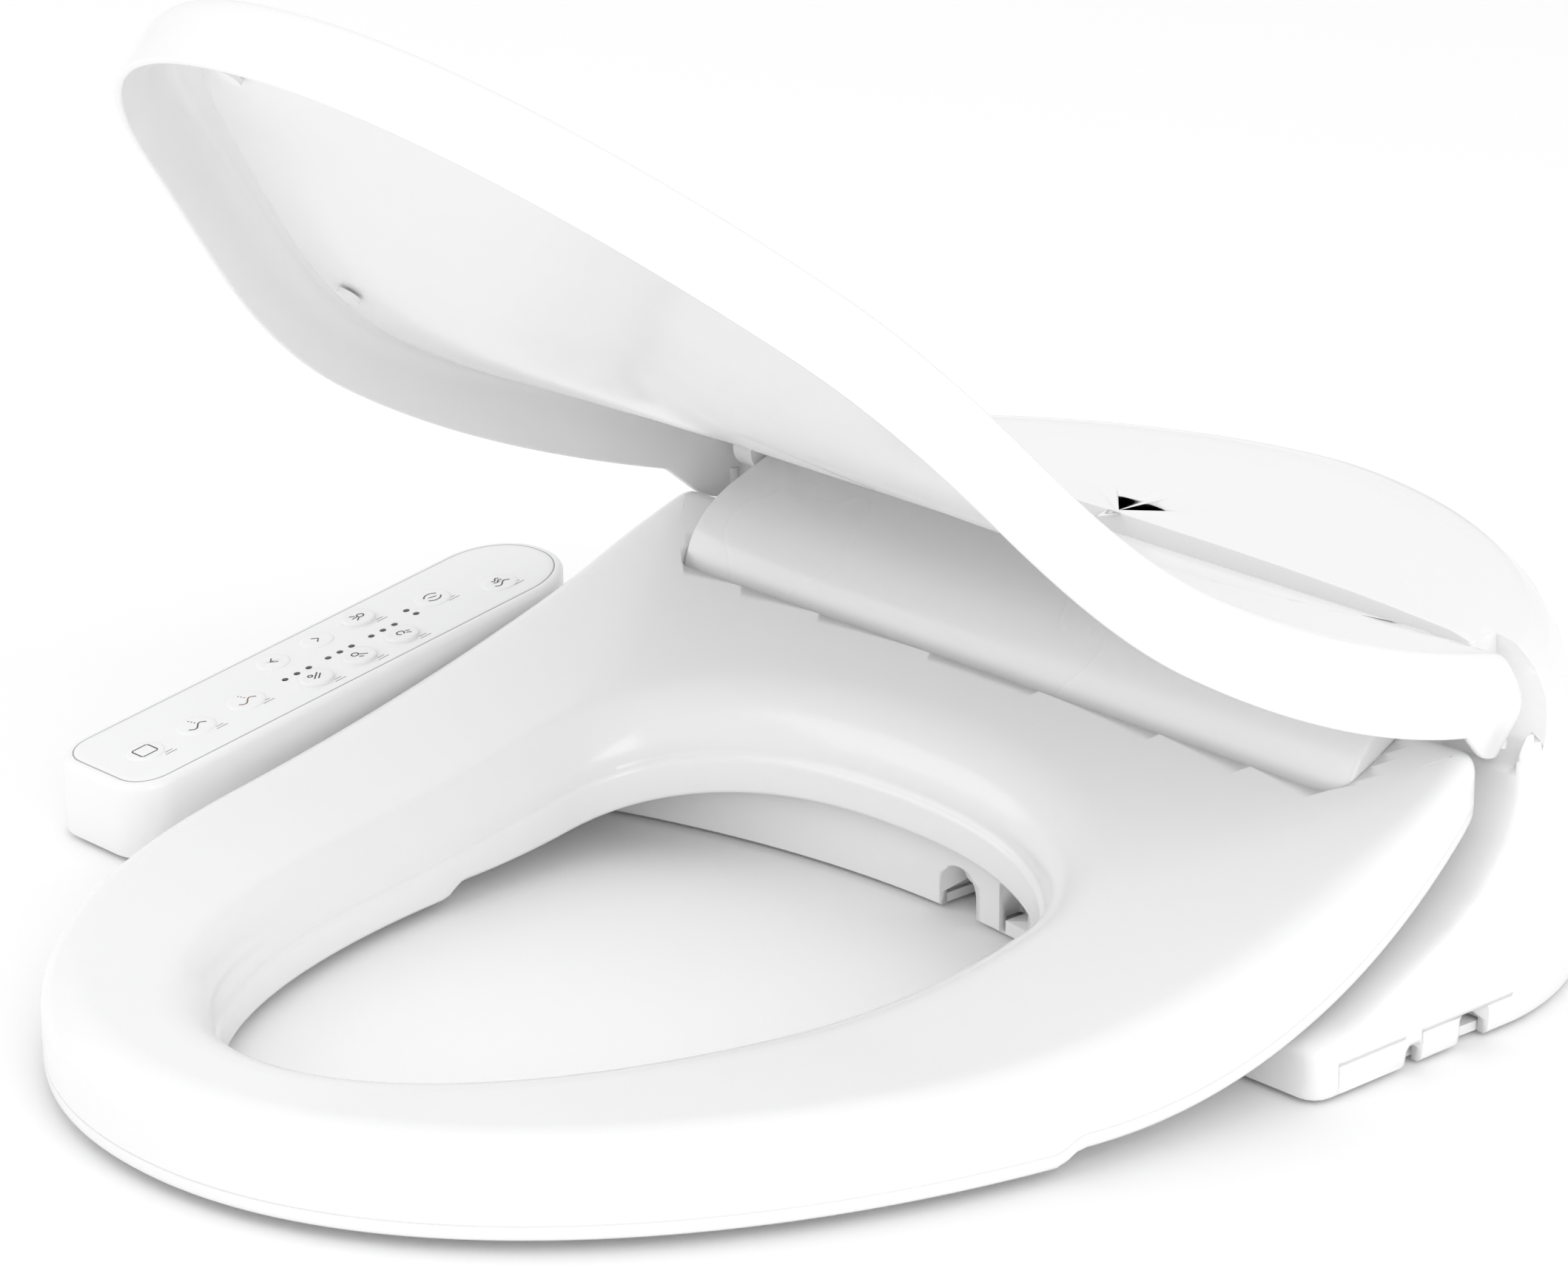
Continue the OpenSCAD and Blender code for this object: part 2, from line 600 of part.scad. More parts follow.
module deodoriser_filter() {
    color(dark) translate([-50, -56, 5]) difference() {
        cube([34, 30, 12]);
        for (k = [0:5]) translate([3 + 5*k, 3, 2]) cube([3, 24, 20]);
    }
}
module control_board() {
    color("seagreen") translate([-62, 14, 6]) cube([64, 1.6, 60]);
    color(dark) for (p = [[-52, 20], [-30, 30], [-14, 48]]) translate([p.x, 9, p.y]) cube([12, 4.9, 10]);
}
module power_supply() {
    color("seagreen") translate([128.5, -86, 30]) cube([32, 40, 1.6]);
    color(dark) for (p = [[131, -82], [148, -64], [132, -58]]) translate([p.x, p.y, 31.7]) cube([11, 12, 16]);
}
module cord_gland() {
    color(dark) translate([118, -30, 12]) rotate([0, 0, 60]) rotate([0, 90, 0]) difference() {
        union() {
            translate([0, 0, 24]) cylinder(h = 34, r = 5.1);
            translate([0, 0, 24]) cylinder(h = 5, r = 5.1);
        }
        translate([0, 0, 20]) cylinder(h = 44, r = 3.2);
    }
}
module seat_damper() {
    color(dark) for (s = [-1, 1]) translate([s*137.2, seat_pin_y, seat_pin_z]) rotate([0, -90*s, 0])
        cylinder(h = 30, r = 5.5);
}
module lid_damper() {
    color(dark) for (s = [-1, 1]) translate([s*171.4, -96, 80]) cylinder(h = 8, r = 1.8);
}

// Outline of the panel arm, inset by d: small corners at the front, large ones at the back.
module panel_outline(d) {
    rf = 14 - d;
    rr = 22 - d;
    x0 = panel_x0 + d;
    x1 = panel_x1 - d;
    y0 = panel_y0 + d;
    y1 = panel_y1 - d;
    for (x = [x0 + rf, x1 - rf]) translate([x, y0 + rf]) circle(r = rf);
    for (x = [x0 + rr, x1 - rr]) translate([x, y1 - rr]) circle(r = rr);
    translate([x0 + rf, y0]) square([x1 - x0 - 2*rf, rf]);
    translate([x0 + rr, y1 - rr]) square([x1 - x0 - 2*rr, rr]);
    translate([x0, y0 + rf]) square([x1 - x0, y1 - y0 - rf - rr]);
}
module on_panel(x, y) {
    translate([x, y, panel_front_z + (y + 336)*tan(panel_slope)]) rotate([panel_slope, 0, 0]) children();
}
module panel_slab(low, high, inset) {
    intersection() {
        linear_extrude(120) panel_outline(inset);
        on_panel(-215, -336) translate([-60, -40, low]) cube([120, 280, high - low]);
    }
}
module below_panel(low) {
    on_panel(-215, -336) translate([-60, -60, low - 200]) cube([120, 320, 200]);
}

button_mid_x = -211.8;
buttons = [
    ["stop", button_mid_x, -318.2, 6.6, 0.6], ["rear", button_mid_x, -297.4, 6.8, 0.6],
    ["front", button_mid_x, -276.8, 6.8, 0.6], ["back", -226.8, -254, 6, 0.6],
    ["forward", -226.8, -235.4, 6, 0.6], ["clean", -226.8, -217.4, button_d/2, 1.4],
    ["pressure", -203.6, -253.6, button_d/2, 1.4], ["water", -203.6, -235.4, button_d/2, 1.4],
    ["seat", -203.6, -217.2, button_d/2, 1.4], ["power", -217, -192.9, 6.4, 0.6],
    ["dryer", -206, -172.6, 6.4, 0.6]
];
led_x = -212.7;
leds = concat(
    [for (mid = [-254.7, -236.5, -218], k = [-1:1]) [led_x, mid + 5*k]],
    [[led_x, -203.6], [led_x - 4.8, -204]]);
module panel_holes(extra) {
    for (b = buttons) on_panel(b[1], b[2]) translate([0, 0, -12]) cylinder(h = 20, r = b[3] + extra);
    for (p = leds) on_panel(p.x, p.y) translate([0, 0, -12]) cylinder(h = 20, r = 1.1 + extra/3);
}
module panel_casing() {
    color(white) difference() {
        intersection() {
            translate([0, 0, floor_z]) linear_extrude(120) panel_outline(0);
            below_panel(0);
        }
        intersection() {
            translate([0, 0, -1]) linear_extrude(120) panel_outline(2.4);
            below_panel(-panel_wall);
        }
        panel_holes(0.3);
    }
}
module panel_base() { color(white) translate([0, 0, floor_z]) linear_extrude(2.4) panel_outline(2.7); }
module panel_overlay() {
    color(shade) difference() {
        panel_slab(0.05, 0.45, 3.4);
        panel_holes(0.3);
    }
}
module panel_board() {
    color("seagreen") difference() {
        panel_slab(-8.2, -6.6, 6);
        for (y = [-330, -150]) on_panel(-215, y) translate([0, 0, -20]) cylinder(h = 30, r = 1.6);
    }
    color(dark) for (b = buttons) on_panel(b[1], b[2]) translate([-2.5, -2.5, -6.55])
        cube([5, 5, 2.6 - button_travel]);
}
module panel_lights() {
    color("orange") for (p = leds) on_panel(p.x, p.y) translate([0, 0, -6.5]) cylinder(h = 7.1, r = 1.1);
}
module button(k) {
    b = buttons[k];
    color(b[4] > 1 ? shade : white) on_panel(b[1], b[2]) {
        translate([0, 0, -3.4]) cylinder(h = 3.4 + b[4], r = b[3]);
        translate([0, 0, -3.4]) cylinder(h = 0.9, r = b[3] + 0.9);
    }
}

base_chassis();
front_cover();
rear_cover();
right_side_cover();
left_side_cover();
service_cover();
mounting_plate();
foot_pads();
case_screws();
release_button();
water_inlet();
inlet_filter();
solenoid_valve();
flow_valve();
heater_tank();
water_tubes();
drain_plug();
nozzle_guide();
nozzle_piston_cap();
wash_nozzle();
nozzle_tip();
fan_housing();
fan_impeller();
fan_motor();
dryer_duct();
dryer_heater();
deodoriser_filter();
control_board();
power_supply();
cord_gland();
seat_damper();
lid_damper();
panel_casing();
panel_base();
panel_overlay();
panel_board();
panel_lights();
button(0);  // stop_button
button(1);  // rear_wash_button
button(2);  // front_wash_button
button(3);  // nozzle_back_button
button(4);  // nozzle_forward_button
button(5);  // nozzle_clean_button
button(6);  // pressure_button
button(7);  // water_temp_button
button(8);  // seat_temp_button
button(9);  // power_save_button
button(10);  // dryer_button
seat_shell();
seat_underside();
seat_heater();
seat_bumpers();
seat_pins();
lid_shell();
lid_liner();
lid_lugs();
lid_bumpers();
lid_pins();
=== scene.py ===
"""Looks of an electric bidet seat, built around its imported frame.

Sizes in the classes are millimetres in the part's frame: X to the right, Y to the wall and Z up.
Each mesh is turned into metres when it is finished.
"""

import logging
import math
from collections.abc import Callable, Iterable, Sequence
from dataclasses import dataclass, field
from enum import Enum

import bmesh
import bpy
from mathutils import Matrix, Vector


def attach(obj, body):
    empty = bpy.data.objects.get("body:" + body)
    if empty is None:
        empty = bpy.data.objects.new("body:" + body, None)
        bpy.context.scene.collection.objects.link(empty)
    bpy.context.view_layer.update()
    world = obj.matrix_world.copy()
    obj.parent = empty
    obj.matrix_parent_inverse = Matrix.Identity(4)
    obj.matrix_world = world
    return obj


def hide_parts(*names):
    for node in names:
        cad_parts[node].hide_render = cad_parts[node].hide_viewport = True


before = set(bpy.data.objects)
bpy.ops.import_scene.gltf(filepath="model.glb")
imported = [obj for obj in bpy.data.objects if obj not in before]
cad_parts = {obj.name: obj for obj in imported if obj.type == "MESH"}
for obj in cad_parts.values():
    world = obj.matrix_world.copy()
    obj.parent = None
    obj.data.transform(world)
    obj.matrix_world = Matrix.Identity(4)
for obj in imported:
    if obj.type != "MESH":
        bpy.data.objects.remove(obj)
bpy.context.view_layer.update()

LOG = logging.getLogger("bidet")
MM = 0.001
Points = list[Vector]
Line = list[tuple[float, float]]


class Body(Enum):
    """The moving bodies that pieces ride on."""

    HOUSING = "housing"
    LID = "lid"
    SEAT = "seat"


class Slot(Enum):
    """Names of material slots."""

    SHELL = "shell_white"
    LINER = "liner_white"
    OVERLAY = "overlay"
    SOFT = "soft_white"
    LIGHT = "light"
    KEY = "key"
    KEY_FLAT = "key_flat"


# ---------------------------------------------------------------- shared measures


def clamp(value: float, low: float = 0.0, high: float = 1.0) -> float:
    """Keeps a value between two others."""
    return max(low, min(high, value))


def ease(t: float) -> float:
    """Smooth step from 0 to 1."""
    u = clamp(t)
    return u * u * (3 - 2 * u)


def mix(a: float, b: float, t: float) -> float:
    """Value between a and b at share t."""
    return a + (b - a) * t


@dataclass(frozen=True)
class Measures:
    """Sizes that several sub-assemblies share."""

    seat_half: float = 186.0
    seat_mid_y: float = -193.0
    seat_reach: float = 478.0
    seat_power: float = 2.08
    tail: float = 276.0
    notch_y: float = -144.5
    notch_half: float = 150.2
    ear_end_y: float = -111.0
    lid_axis_y: float = -98.0
    lid_axis_z: float = 100.0
    lid_angle: float = 42.1
    side_x: float = 194.0
    dome_mid_y: float = -112.0
    dome_depth: float = 157.0
    dome_power: float = 1.75
    step_y: float = -86.0
    nose_half: float = 149.4
    arm_y: float = -199.0
    panel_slope: float = 9.84
    panel_z: float = 27.0

    def seat_top(self, y: float) -> float:
        """Height of the seat's crest."""
        return 33 + 0.001224 * max(0.0, y + 320) ** 2

    def seat_low(self, y: float) -> float:
        """Height of the seat's lower edge, which steps up behind the bumpers."""
        return 4 + 4 * ease((y + 288) / 9) + 0.00218 * max(0.0, y + 275) ** 2

    def lid_rim(self, y: float) -> float:
        """Height of the closed lid's lower edge."""
        return self.seat_top(y) + 3.5 - 13 * ease((y + 390) / 150)

    def lid_top(self, y: float) -> float:
        """Height of the closed lid's upper face."""
        high = self.lid_rim(y) + 23 + 6 * ease((y + 300) / 200)
        cap = 107.5 - 0.09 * (y + 106)
        gap = high - cap
        return cap + (gap - math.sqrt(gap * gap + 9)) / 2

    def tail_x(self, half: float, y: float, mid: float) -> float:
        """Half width of an outline behind its widest line."""
        return half * math.sqrt(max(0.0, 1 - ((y - mid) / self.tail) ** 2))

    def wall_y(self, x: float) -> float:
        """Front of the housing's guard wall under the seat."""
        return max(-172 - 0.00146 * x * x, self.arm_y)


SIZES = Measures()


# ---------------------------------------------------------------- curves


def resample(path: Sequence[Vector], count: int) -> Points:
    """Spreads points evenly along an open path.

    Args:
        path: corner points of the path.
        count: how many points are wanted, both ends included.

    Returns:
        The evenly spread points.
    """
    lengths = [0.0]
    for a, b in zip(path, path[1:]):
        lengths.append(lengths[-1] + (b - a).length)
    result, k = [], 0
    for i in range(count):
        want = lengths[-1] * i / (count - 1)
        while k < len(path) - 2 and lengths[k + 1] < want:
            k += 1
        span = lengths[k + 1] - lengths[k]
        result.append(path[k].lerp(path[k + 1], 0 if span == 0 else (want - lengths[k]) / span))
    return result


def spline(path: Sequence[Vector], steps: int) -> Points:
    """Smooth curve through points, as a Catmull-Rom spline.

    Args:
        path: the points that the curve passes.
        steps: points made between each pair.

    Returns:
        The points of the curve, with the last point of the path.
    """
    result = []
    for i in range(len(path) - 1):
        p0, p1, p2 = path[max(i - 1, 0)], path[i], path[i + 1]
        p3 = path[min(i + 2, len(path) - 1)]
        for k in range(steps):
            t = k / steps
            result.append(
                0.5 * (2 * p1 + (p2 - p0) * t + (2 * p0 - 5 * p1 + 4 * p2 - p3) * t * t
                       + (3 * p1 - p0 - 3 * p2 + p3) * t ** 3)
            )
    return result + [path[-1].copy()]


def arc(centre: tuple[float, float], radius: float, start: float, end: float, count: int) -> Points:
    """Points of a circular arc in plan.

    Args:
        centre: the arc's centre.
        radius: its radius.
        start: its first angle in degrees.
        end: its last angle in degrees.
        count: how many steps it has.

    Returns:
        The points, both ends included.
    """
    return [
        Vector((centre[0] + radius * math.cos(math.radians(mix(start, end, i / count))),
                centre[1] + radius * math.sin(math.radians(mix(start, end, i / count))), 0))
        for i in range(count + 1)
    ]


def mirrored(half: Sequence[Vector]) -> Points:
    """Closed path from a right half that starts and ends on the middle line."""
    return list(half) + [Vector((-p.x, p.y, p.z)) for p in reversed(half[1:-1])]


def normals(path: Sequence[Vector]) -> Points:
    """Inward plan normals of a closed path that runs anticlockwise.

    Args:
        path: the closed path.

    Returns:
        One unit normal for each point.
    """
    n = len(path)
    result = []
    for i in range(n):
        t = (path[(i + 1) % n] - path[i - 1]).normalized()
        result.append(Vector((-t.y, t.x, 0)))
    return result


def interpolate(table: Sequence[tuple[float, float]], x: float) -> float:
    """Value of a broken line through (x, value) pairs.

    Args:
        table: the pairs, with x rising.
        x: where the value is wanted.

    Returns:
        The value, held level beyond both ends.
    """
    if x <= table[0][0]:
        return table[0][1]
    for (x0, y0), (x1, y1) in zip(table, table[1:]):
        if x <= x1:
            return mix(y0, y1, (x - x0) / (x1 - x0))
    return table[-1][1]


# ---------------------------------------------------------------- finishes


@dataclass(frozen=True)
class Finish:
    """A procedural moulded finish.

    Attributes:
        name: the material's name.
        colour: base colour, linear.
        shade: second colour of the slow variation.
        roughness: mean roughness.
        coat: weight of the clear coat.
        grain: size of the surface texture in 1/m.
        relief: depth of the texture's bump.
        metallic: 1 for a metal.
        coat_roughness: roughness of the clear coat.
        cloud: scale of the slow variation in 1/m.
        spread: share by which the roughness varies.
        bump_depth: height of the texture in metres.
    """

    name: str
    colour: tuple[float, float, float]
    shade: tuple[float, float, float]
    roughness: float = 0.3
    coat: float = 0.0
    grain: float = 900.0
    relief: float = 0.02
    metallic: float = 0.0
    coat_roughness: float = 0.12
    cloud: float = 7.0
    spread: float = 0.15
    bump_depth: float = 0.0002

    def build(self) -> bpy.types.Material:
        """Makes the node material.

        Returns:
            The material, or the one of that name if it exists.
        """
        found = bpy.data.materials.get(self.name)
        if found:
            return found
        material = bpy.data.materials.new(self.name)
        material.use_nodes = True
        tree = material.node_tree
        nodes, link = tree.nodes, tree.links.new
        shader = nodes["Principled BSDF"]
        shader.inputs["Metallic"].default_value = self.metallic
        shader.inputs["Coat Weight"].default_value = self.coat
        shader.inputs["Coat Roughness"].default_value = self.coat_roughness
        coords = nodes.new("ShaderNodeTexCoord")
        slow = nodes.new("ShaderNodeTexNoise")
        slow.inputs["Scale"].default_value = self.cloud
        slow.inputs["Detail"].default_value = 3.0
        link(coords.outputs["Object"], slow.inputs["Vector"])
        tint = nodes.new("ShaderNodeMix")
        tint.data_type = "RGBA"
        tint.inputs["A"].default_value = (*self.colour, 1)
        tint.inputs["B"].default_value = (*self.shade, 1)
        link(slow.outputs["Fac"], tint.inputs["Factor"])
        link(tint.outputs["Result"], shader.inputs["Base Color"])
        fine = nodes.new("ShaderNodeTexNoise")
        fine.inputs["Scale"].default_value = self.grain
        fine.inputs["Detail"].default_value = 2.0
        link(coords.outputs["Object"], fine.inputs["Vector"])
        gloss = nodes.new("ShaderNodeMapRange")
        gloss.inputs["To Min"].default_value = self.roughness * (1 - self.spread)
        gloss.inputs["To Max"].default_value = self.roughness * (1 + self.spread)
        link(slow.outputs["Fac"], gloss.inputs["Value"])
        link(gloss.outputs["Result"], shader.inputs["Roughness"])
        bump = nodes.new("ShaderNodeBump")
        bump.inputs["Strength"].default_value = self.relief
        bump.inputs["Distance"].default_value = self.bump_depth
        link(fine.outputs["Fac"], bump.inputs["Height"])
        link(bump.outputs["Normal"], shader.inputs["Normal"])
        return material


class Look(Enum):
    """Every finish in the scene."""

    SHELL = Finish("moulded_white", (0.86, 0.86, 0.86), (0.845, 0.845, 0.848), 0.24, 0.35)
    LID = Finish("lid_white", (0.87, 0.87, 0.87), (0.855, 0.855, 0.858), 0.22, 0.4)
    HOUSING = Finish("housing_white", (0.865, 0.865, 0.865), (0.85, 0.85, 0.853), 0.27, 0.3)
    PANEL = Finish("panel_white", (0.87, 0.87, 0.87), (0.86, 0.86, 0.862), 0.3, 0.2)
    FILM = Finish("printed_film", (0.865, 0.866, 0.868), (0.855, 0.856, 0.858), 0.38, 0.1, 1600.0, 0.05)
    OUTLINE = Finish("outline_grey", (0.42, 0.42, 0.43), (0.38, 0.38, 0.39), 0.5)
    INK = Finish("icon_ink", (0.06, 0.06, 0.065), (0.045, 0.045, 0.05), 0.5)
    INK_WARM = Finish("icon_ink_warm", (0.23, 0.13, 0.08), (0.2, 0.11, 0.07), 0.5)
    INK_GREY = Finish("label_grey", (0.3, 0.3, 0.31), (0.26, 0.26, 0.27), 0.5)
    LENS = Finish("light_guide", (0.012, 0.012, 0.013), (0.02, 0.02, 0.02), 0.2, 0.3)
    KEY = Finish("key_white", (0.85, 0.85, 0.852), (0.84, 0.84, 0.842), 0.35, 0.1, 1400.0, 0.04)
    INSIDE = Finish("port_inside", (0.16, 0.16, 0.165), (0.12, 0.12, 0.125), 0.6)


# ---------------------------------------------------------------- mesh building


class Skin:
    """A surface that is bridged between closed loops of points, in millimetres."""

    def __init__(self) -> None:
        self.bm = bmesh.new()
        self.last: list[bmesh.types.BMEdge] = []
        self.first: list[bmesh.types.BMEdge] = []

    def loop(self, points: Sequence[Vector]) -> "Skin":
        """Adds a closed loop and bridges it to the one before.

        Args:
            points: the loop's points in order.

        Returns:
            The same skin.
        """
        verts = [self.bm.verts.new(p) for p in points]
        edges = [self.bm.edges.new((v, verts[(i + 1) % len(verts)])) for i, v in enumerate(verts)]
        if self.last:
            bmesh.ops.bridge_loops(self.bm, edges=self.last + edges)
        else:
            self.first = edges
        self.last = edges
        return self

    def loops(self, rails: Iterable[Sequence[Vector]]) -> "Skin":
        """Adds several loops in turn.

        Args:
            rails: the loops.

        Returns:
            The same skin.
        """
        for rail in rails:
            self.loop(rail)
        return self

    def close_ring(self) -> "Skin":
        """Bridges the last loop to the first, which makes a tube that closes on itself."""
        bmesh.ops.bridge_loops(self.bm, edges=self.last + self.first)
        return self

    def cap(self, which: Sequence[bmesh.types.BMEdge]) -> "Skin":
        """Fills one end loop with a fan.

        Args:
            which: the edges of the loop.

        Returns:
            The same skin.
        """
        made = bmesh.ops.edgeloop_fill(self.bm, edges=list(which))
        bmesh.ops.poke(self.bm, faces=made["faces"])
        return self

    def caps(self) -> "Skin":
        """Fills both end loops."""
        return self.cap(self.first).cap(self.last)

    def turn(self, degrees: float, axis: str, centre: tuple[float, float, float]) -> "Skin":
        """Turns the surface about a line.

        Args:
            degrees: the angle.
            axis: the line's direction, X, Y or Z.
            centre: a point on the line.

        Returns:
            The same skin.
        """
        bmesh.ops.rotate(self.bm, verts=self.bm.verts, cent=centre,
                         matrix=Matrix.Rotation(math.radians(degrees), 3, axis))
        return self

    def join(self, other: "Skin") -> "Skin":
        """Takes in another surface.

        Args:
            other: the surface that is added.

        Returns:
            The same skin.
        """
        mesh = bpy.data.meshes.new("joined")
        other.bm.to_mesh(mesh)
        self.bm.from_mesh(mesh)
        bpy.data.meshes.remove(mesh)
        return self

    def finish(self, name: str, look: Look, sharp: float = 35.0) -> bpy.types.Object:
        """Turns the surface into an object in metres.

        Args:
            name: the piece's name.
            look: its finish.
            sharp: edges that turn by more than this many degrees stay crisp.

        Returns:
            The new object, at the origin and untransformed.
        """
        bmesh.ops.scale(self.bm, vec=(MM, MM, MM), verts=self.bm.verts)
        bmesh.ops.recalc_face_normals(self.bm, faces=self.bm.faces)
        for face in self.bm.faces:
            face.smooth = True
        mesh = bpy.data.meshes.new(name)
        self.bm.to_mesh(mesh)
        self.bm.free()
        mesh.set_sharp_from_angle(angle=math.radians(sharp))
        mesh.materials.append(look.value.build())
        obj = bpy.data.objects.new(name, mesh)
        bpy.context.scene.collection.objects.link(obj)
        return obj


def block(size: tuple[float, float, float], centre: tuple[float, float, float],
          round_edges: float = 0.0, segments: int = 4, upright: bool = False) -> Skin:
    """A box with rounded edges.

    Args:
        size: its three sizes.
        centre: its middle.
        round_edges: radius of the edges.
        segments: steps in each round.
        upright: only the vertical edges are rounded.

    Returns:
        The box as a skin.
    """
    skin = Skin()
    bmesh.ops.create_cube(skin.bm, size=1.0)
    bmesh.ops.scale(skin.bm, vec=size, verts=skin.bm.verts)
    if round_edges > 0:
        edges = [e for e in skin.bm.edges
                 if not upright or abs(e.verts[0].co.z - e.verts[1].co.z) > 1e-6]
        bmesh.ops.bevel(skin.bm, geom=edges, offset=round_edges, segments=segments, profile=0.5,
                        affect="EDGES", material=-1)
    bmesh.ops.translate(skin.bm, vec=centre, verts=skin.bm.verts)
    return skin


def rod(radius: float, length: float, start: tuple[float, float, float],
        lying: bool = False, segments: int = 40) -> Skin:
    """A cylinder that stands on its start point.

    Args:
        radius: its radius.
        length: its length.
        start: the middle of its first end.
        lying: it runs along -Y instead of up.
        segments: how many sides it has.

    Returns:
        The cylinder as a skin.
    """
    skin = Skin()
    bmesh.ops.create_cone(skin.bm, cap_ends=True, segments=segments, radius1=radius, radius2=radius,
                          depth=length)
    bmesh.ops.translate(skin.bm, vec=(0, 0, length / 2), verts=skin.bm.verts)
    if lying:
        bmesh.ops.rotate(skin.bm, verts=skin.bm.verts, cent=(0, 0, 0),
                         matrix=Matrix.Rotation(math.radians(90), 3, "X"))
    bmesh.ops.translate(skin.bm, vec=start, verts=skin.bm.verts)
    return skin


def prism(profile: Sequence[tuple[float, float]], x0: float, x1: float) -> Skin:
    """A solid with a constant profile.

    Args:
        profile: its (y, z) points.
        x0: where it starts.
        x1: where it ends.

    Returns:
        The solid as a skin.
    """
    skin = Skin()
    skin.loop([Vector((x0, y, z)) for y, z in profile])
    skin.loop([Vector((x1, y, z)) for y, z in profile])
    for edges in (skin.first, skin.last):
        bmesh.ops.edgeloop_fill(skin.bm, edges=edges)
    return skin


def carve(obj: bpy.types.Object, *cutters: Skin) -> bpy.types.Object:
    """Takes cutters away from an object and keeps the result as its mesh.

    Args:
        obj: the object that is cut.
        cutters: the shapes that are taken away.

    Returns:
        The same object with its new mesh.
    """
    made = []
    for i, cutter in enumerate(cutters):
        tool = cutter.finish(f"cutter_{i}", Look.INSIDE)
        tool.data.materials.clear()
        modifier = obj.modifiers.new("cut", "BOOLEAN")
        modifier.operation = "DIFFERENCE"
        modifier.solver = "EXACT"
        modifier.object = tool
        made.append(tool)
    graph = bpy.context.evaluated_depsgraph_get()
    cut = bpy.data.meshes.new_from_object(obj.evaluated_get(graph))
    obj.modifiers.clear()
    old = obj.data
    obj.data = cut
    bpy.data.meshes.remove(old)
    cut.name = obj.name
    for tool in made:
        bpy.data.objects.remove(tool)
    return obj


def place(obj: bpy.types.Object, body: str, slot: Slot, *nodes: str) -> bpy.types.Object:
    """Puts a piece on its body and hides the frame's nodes that it stands for.

    Args:
        obj: the piece.
        body: the body that it rides on.
        slot: not used.
        nodes: the frame's nodes that it replaces.

    Returns:
        The piece.
    """
    LOG.info("placed %s on %s", obj.name, body)
    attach(obj, body)
    if nodes:
        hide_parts(*nodes)
    return obj


# ---------------------------------------------------------------- seat


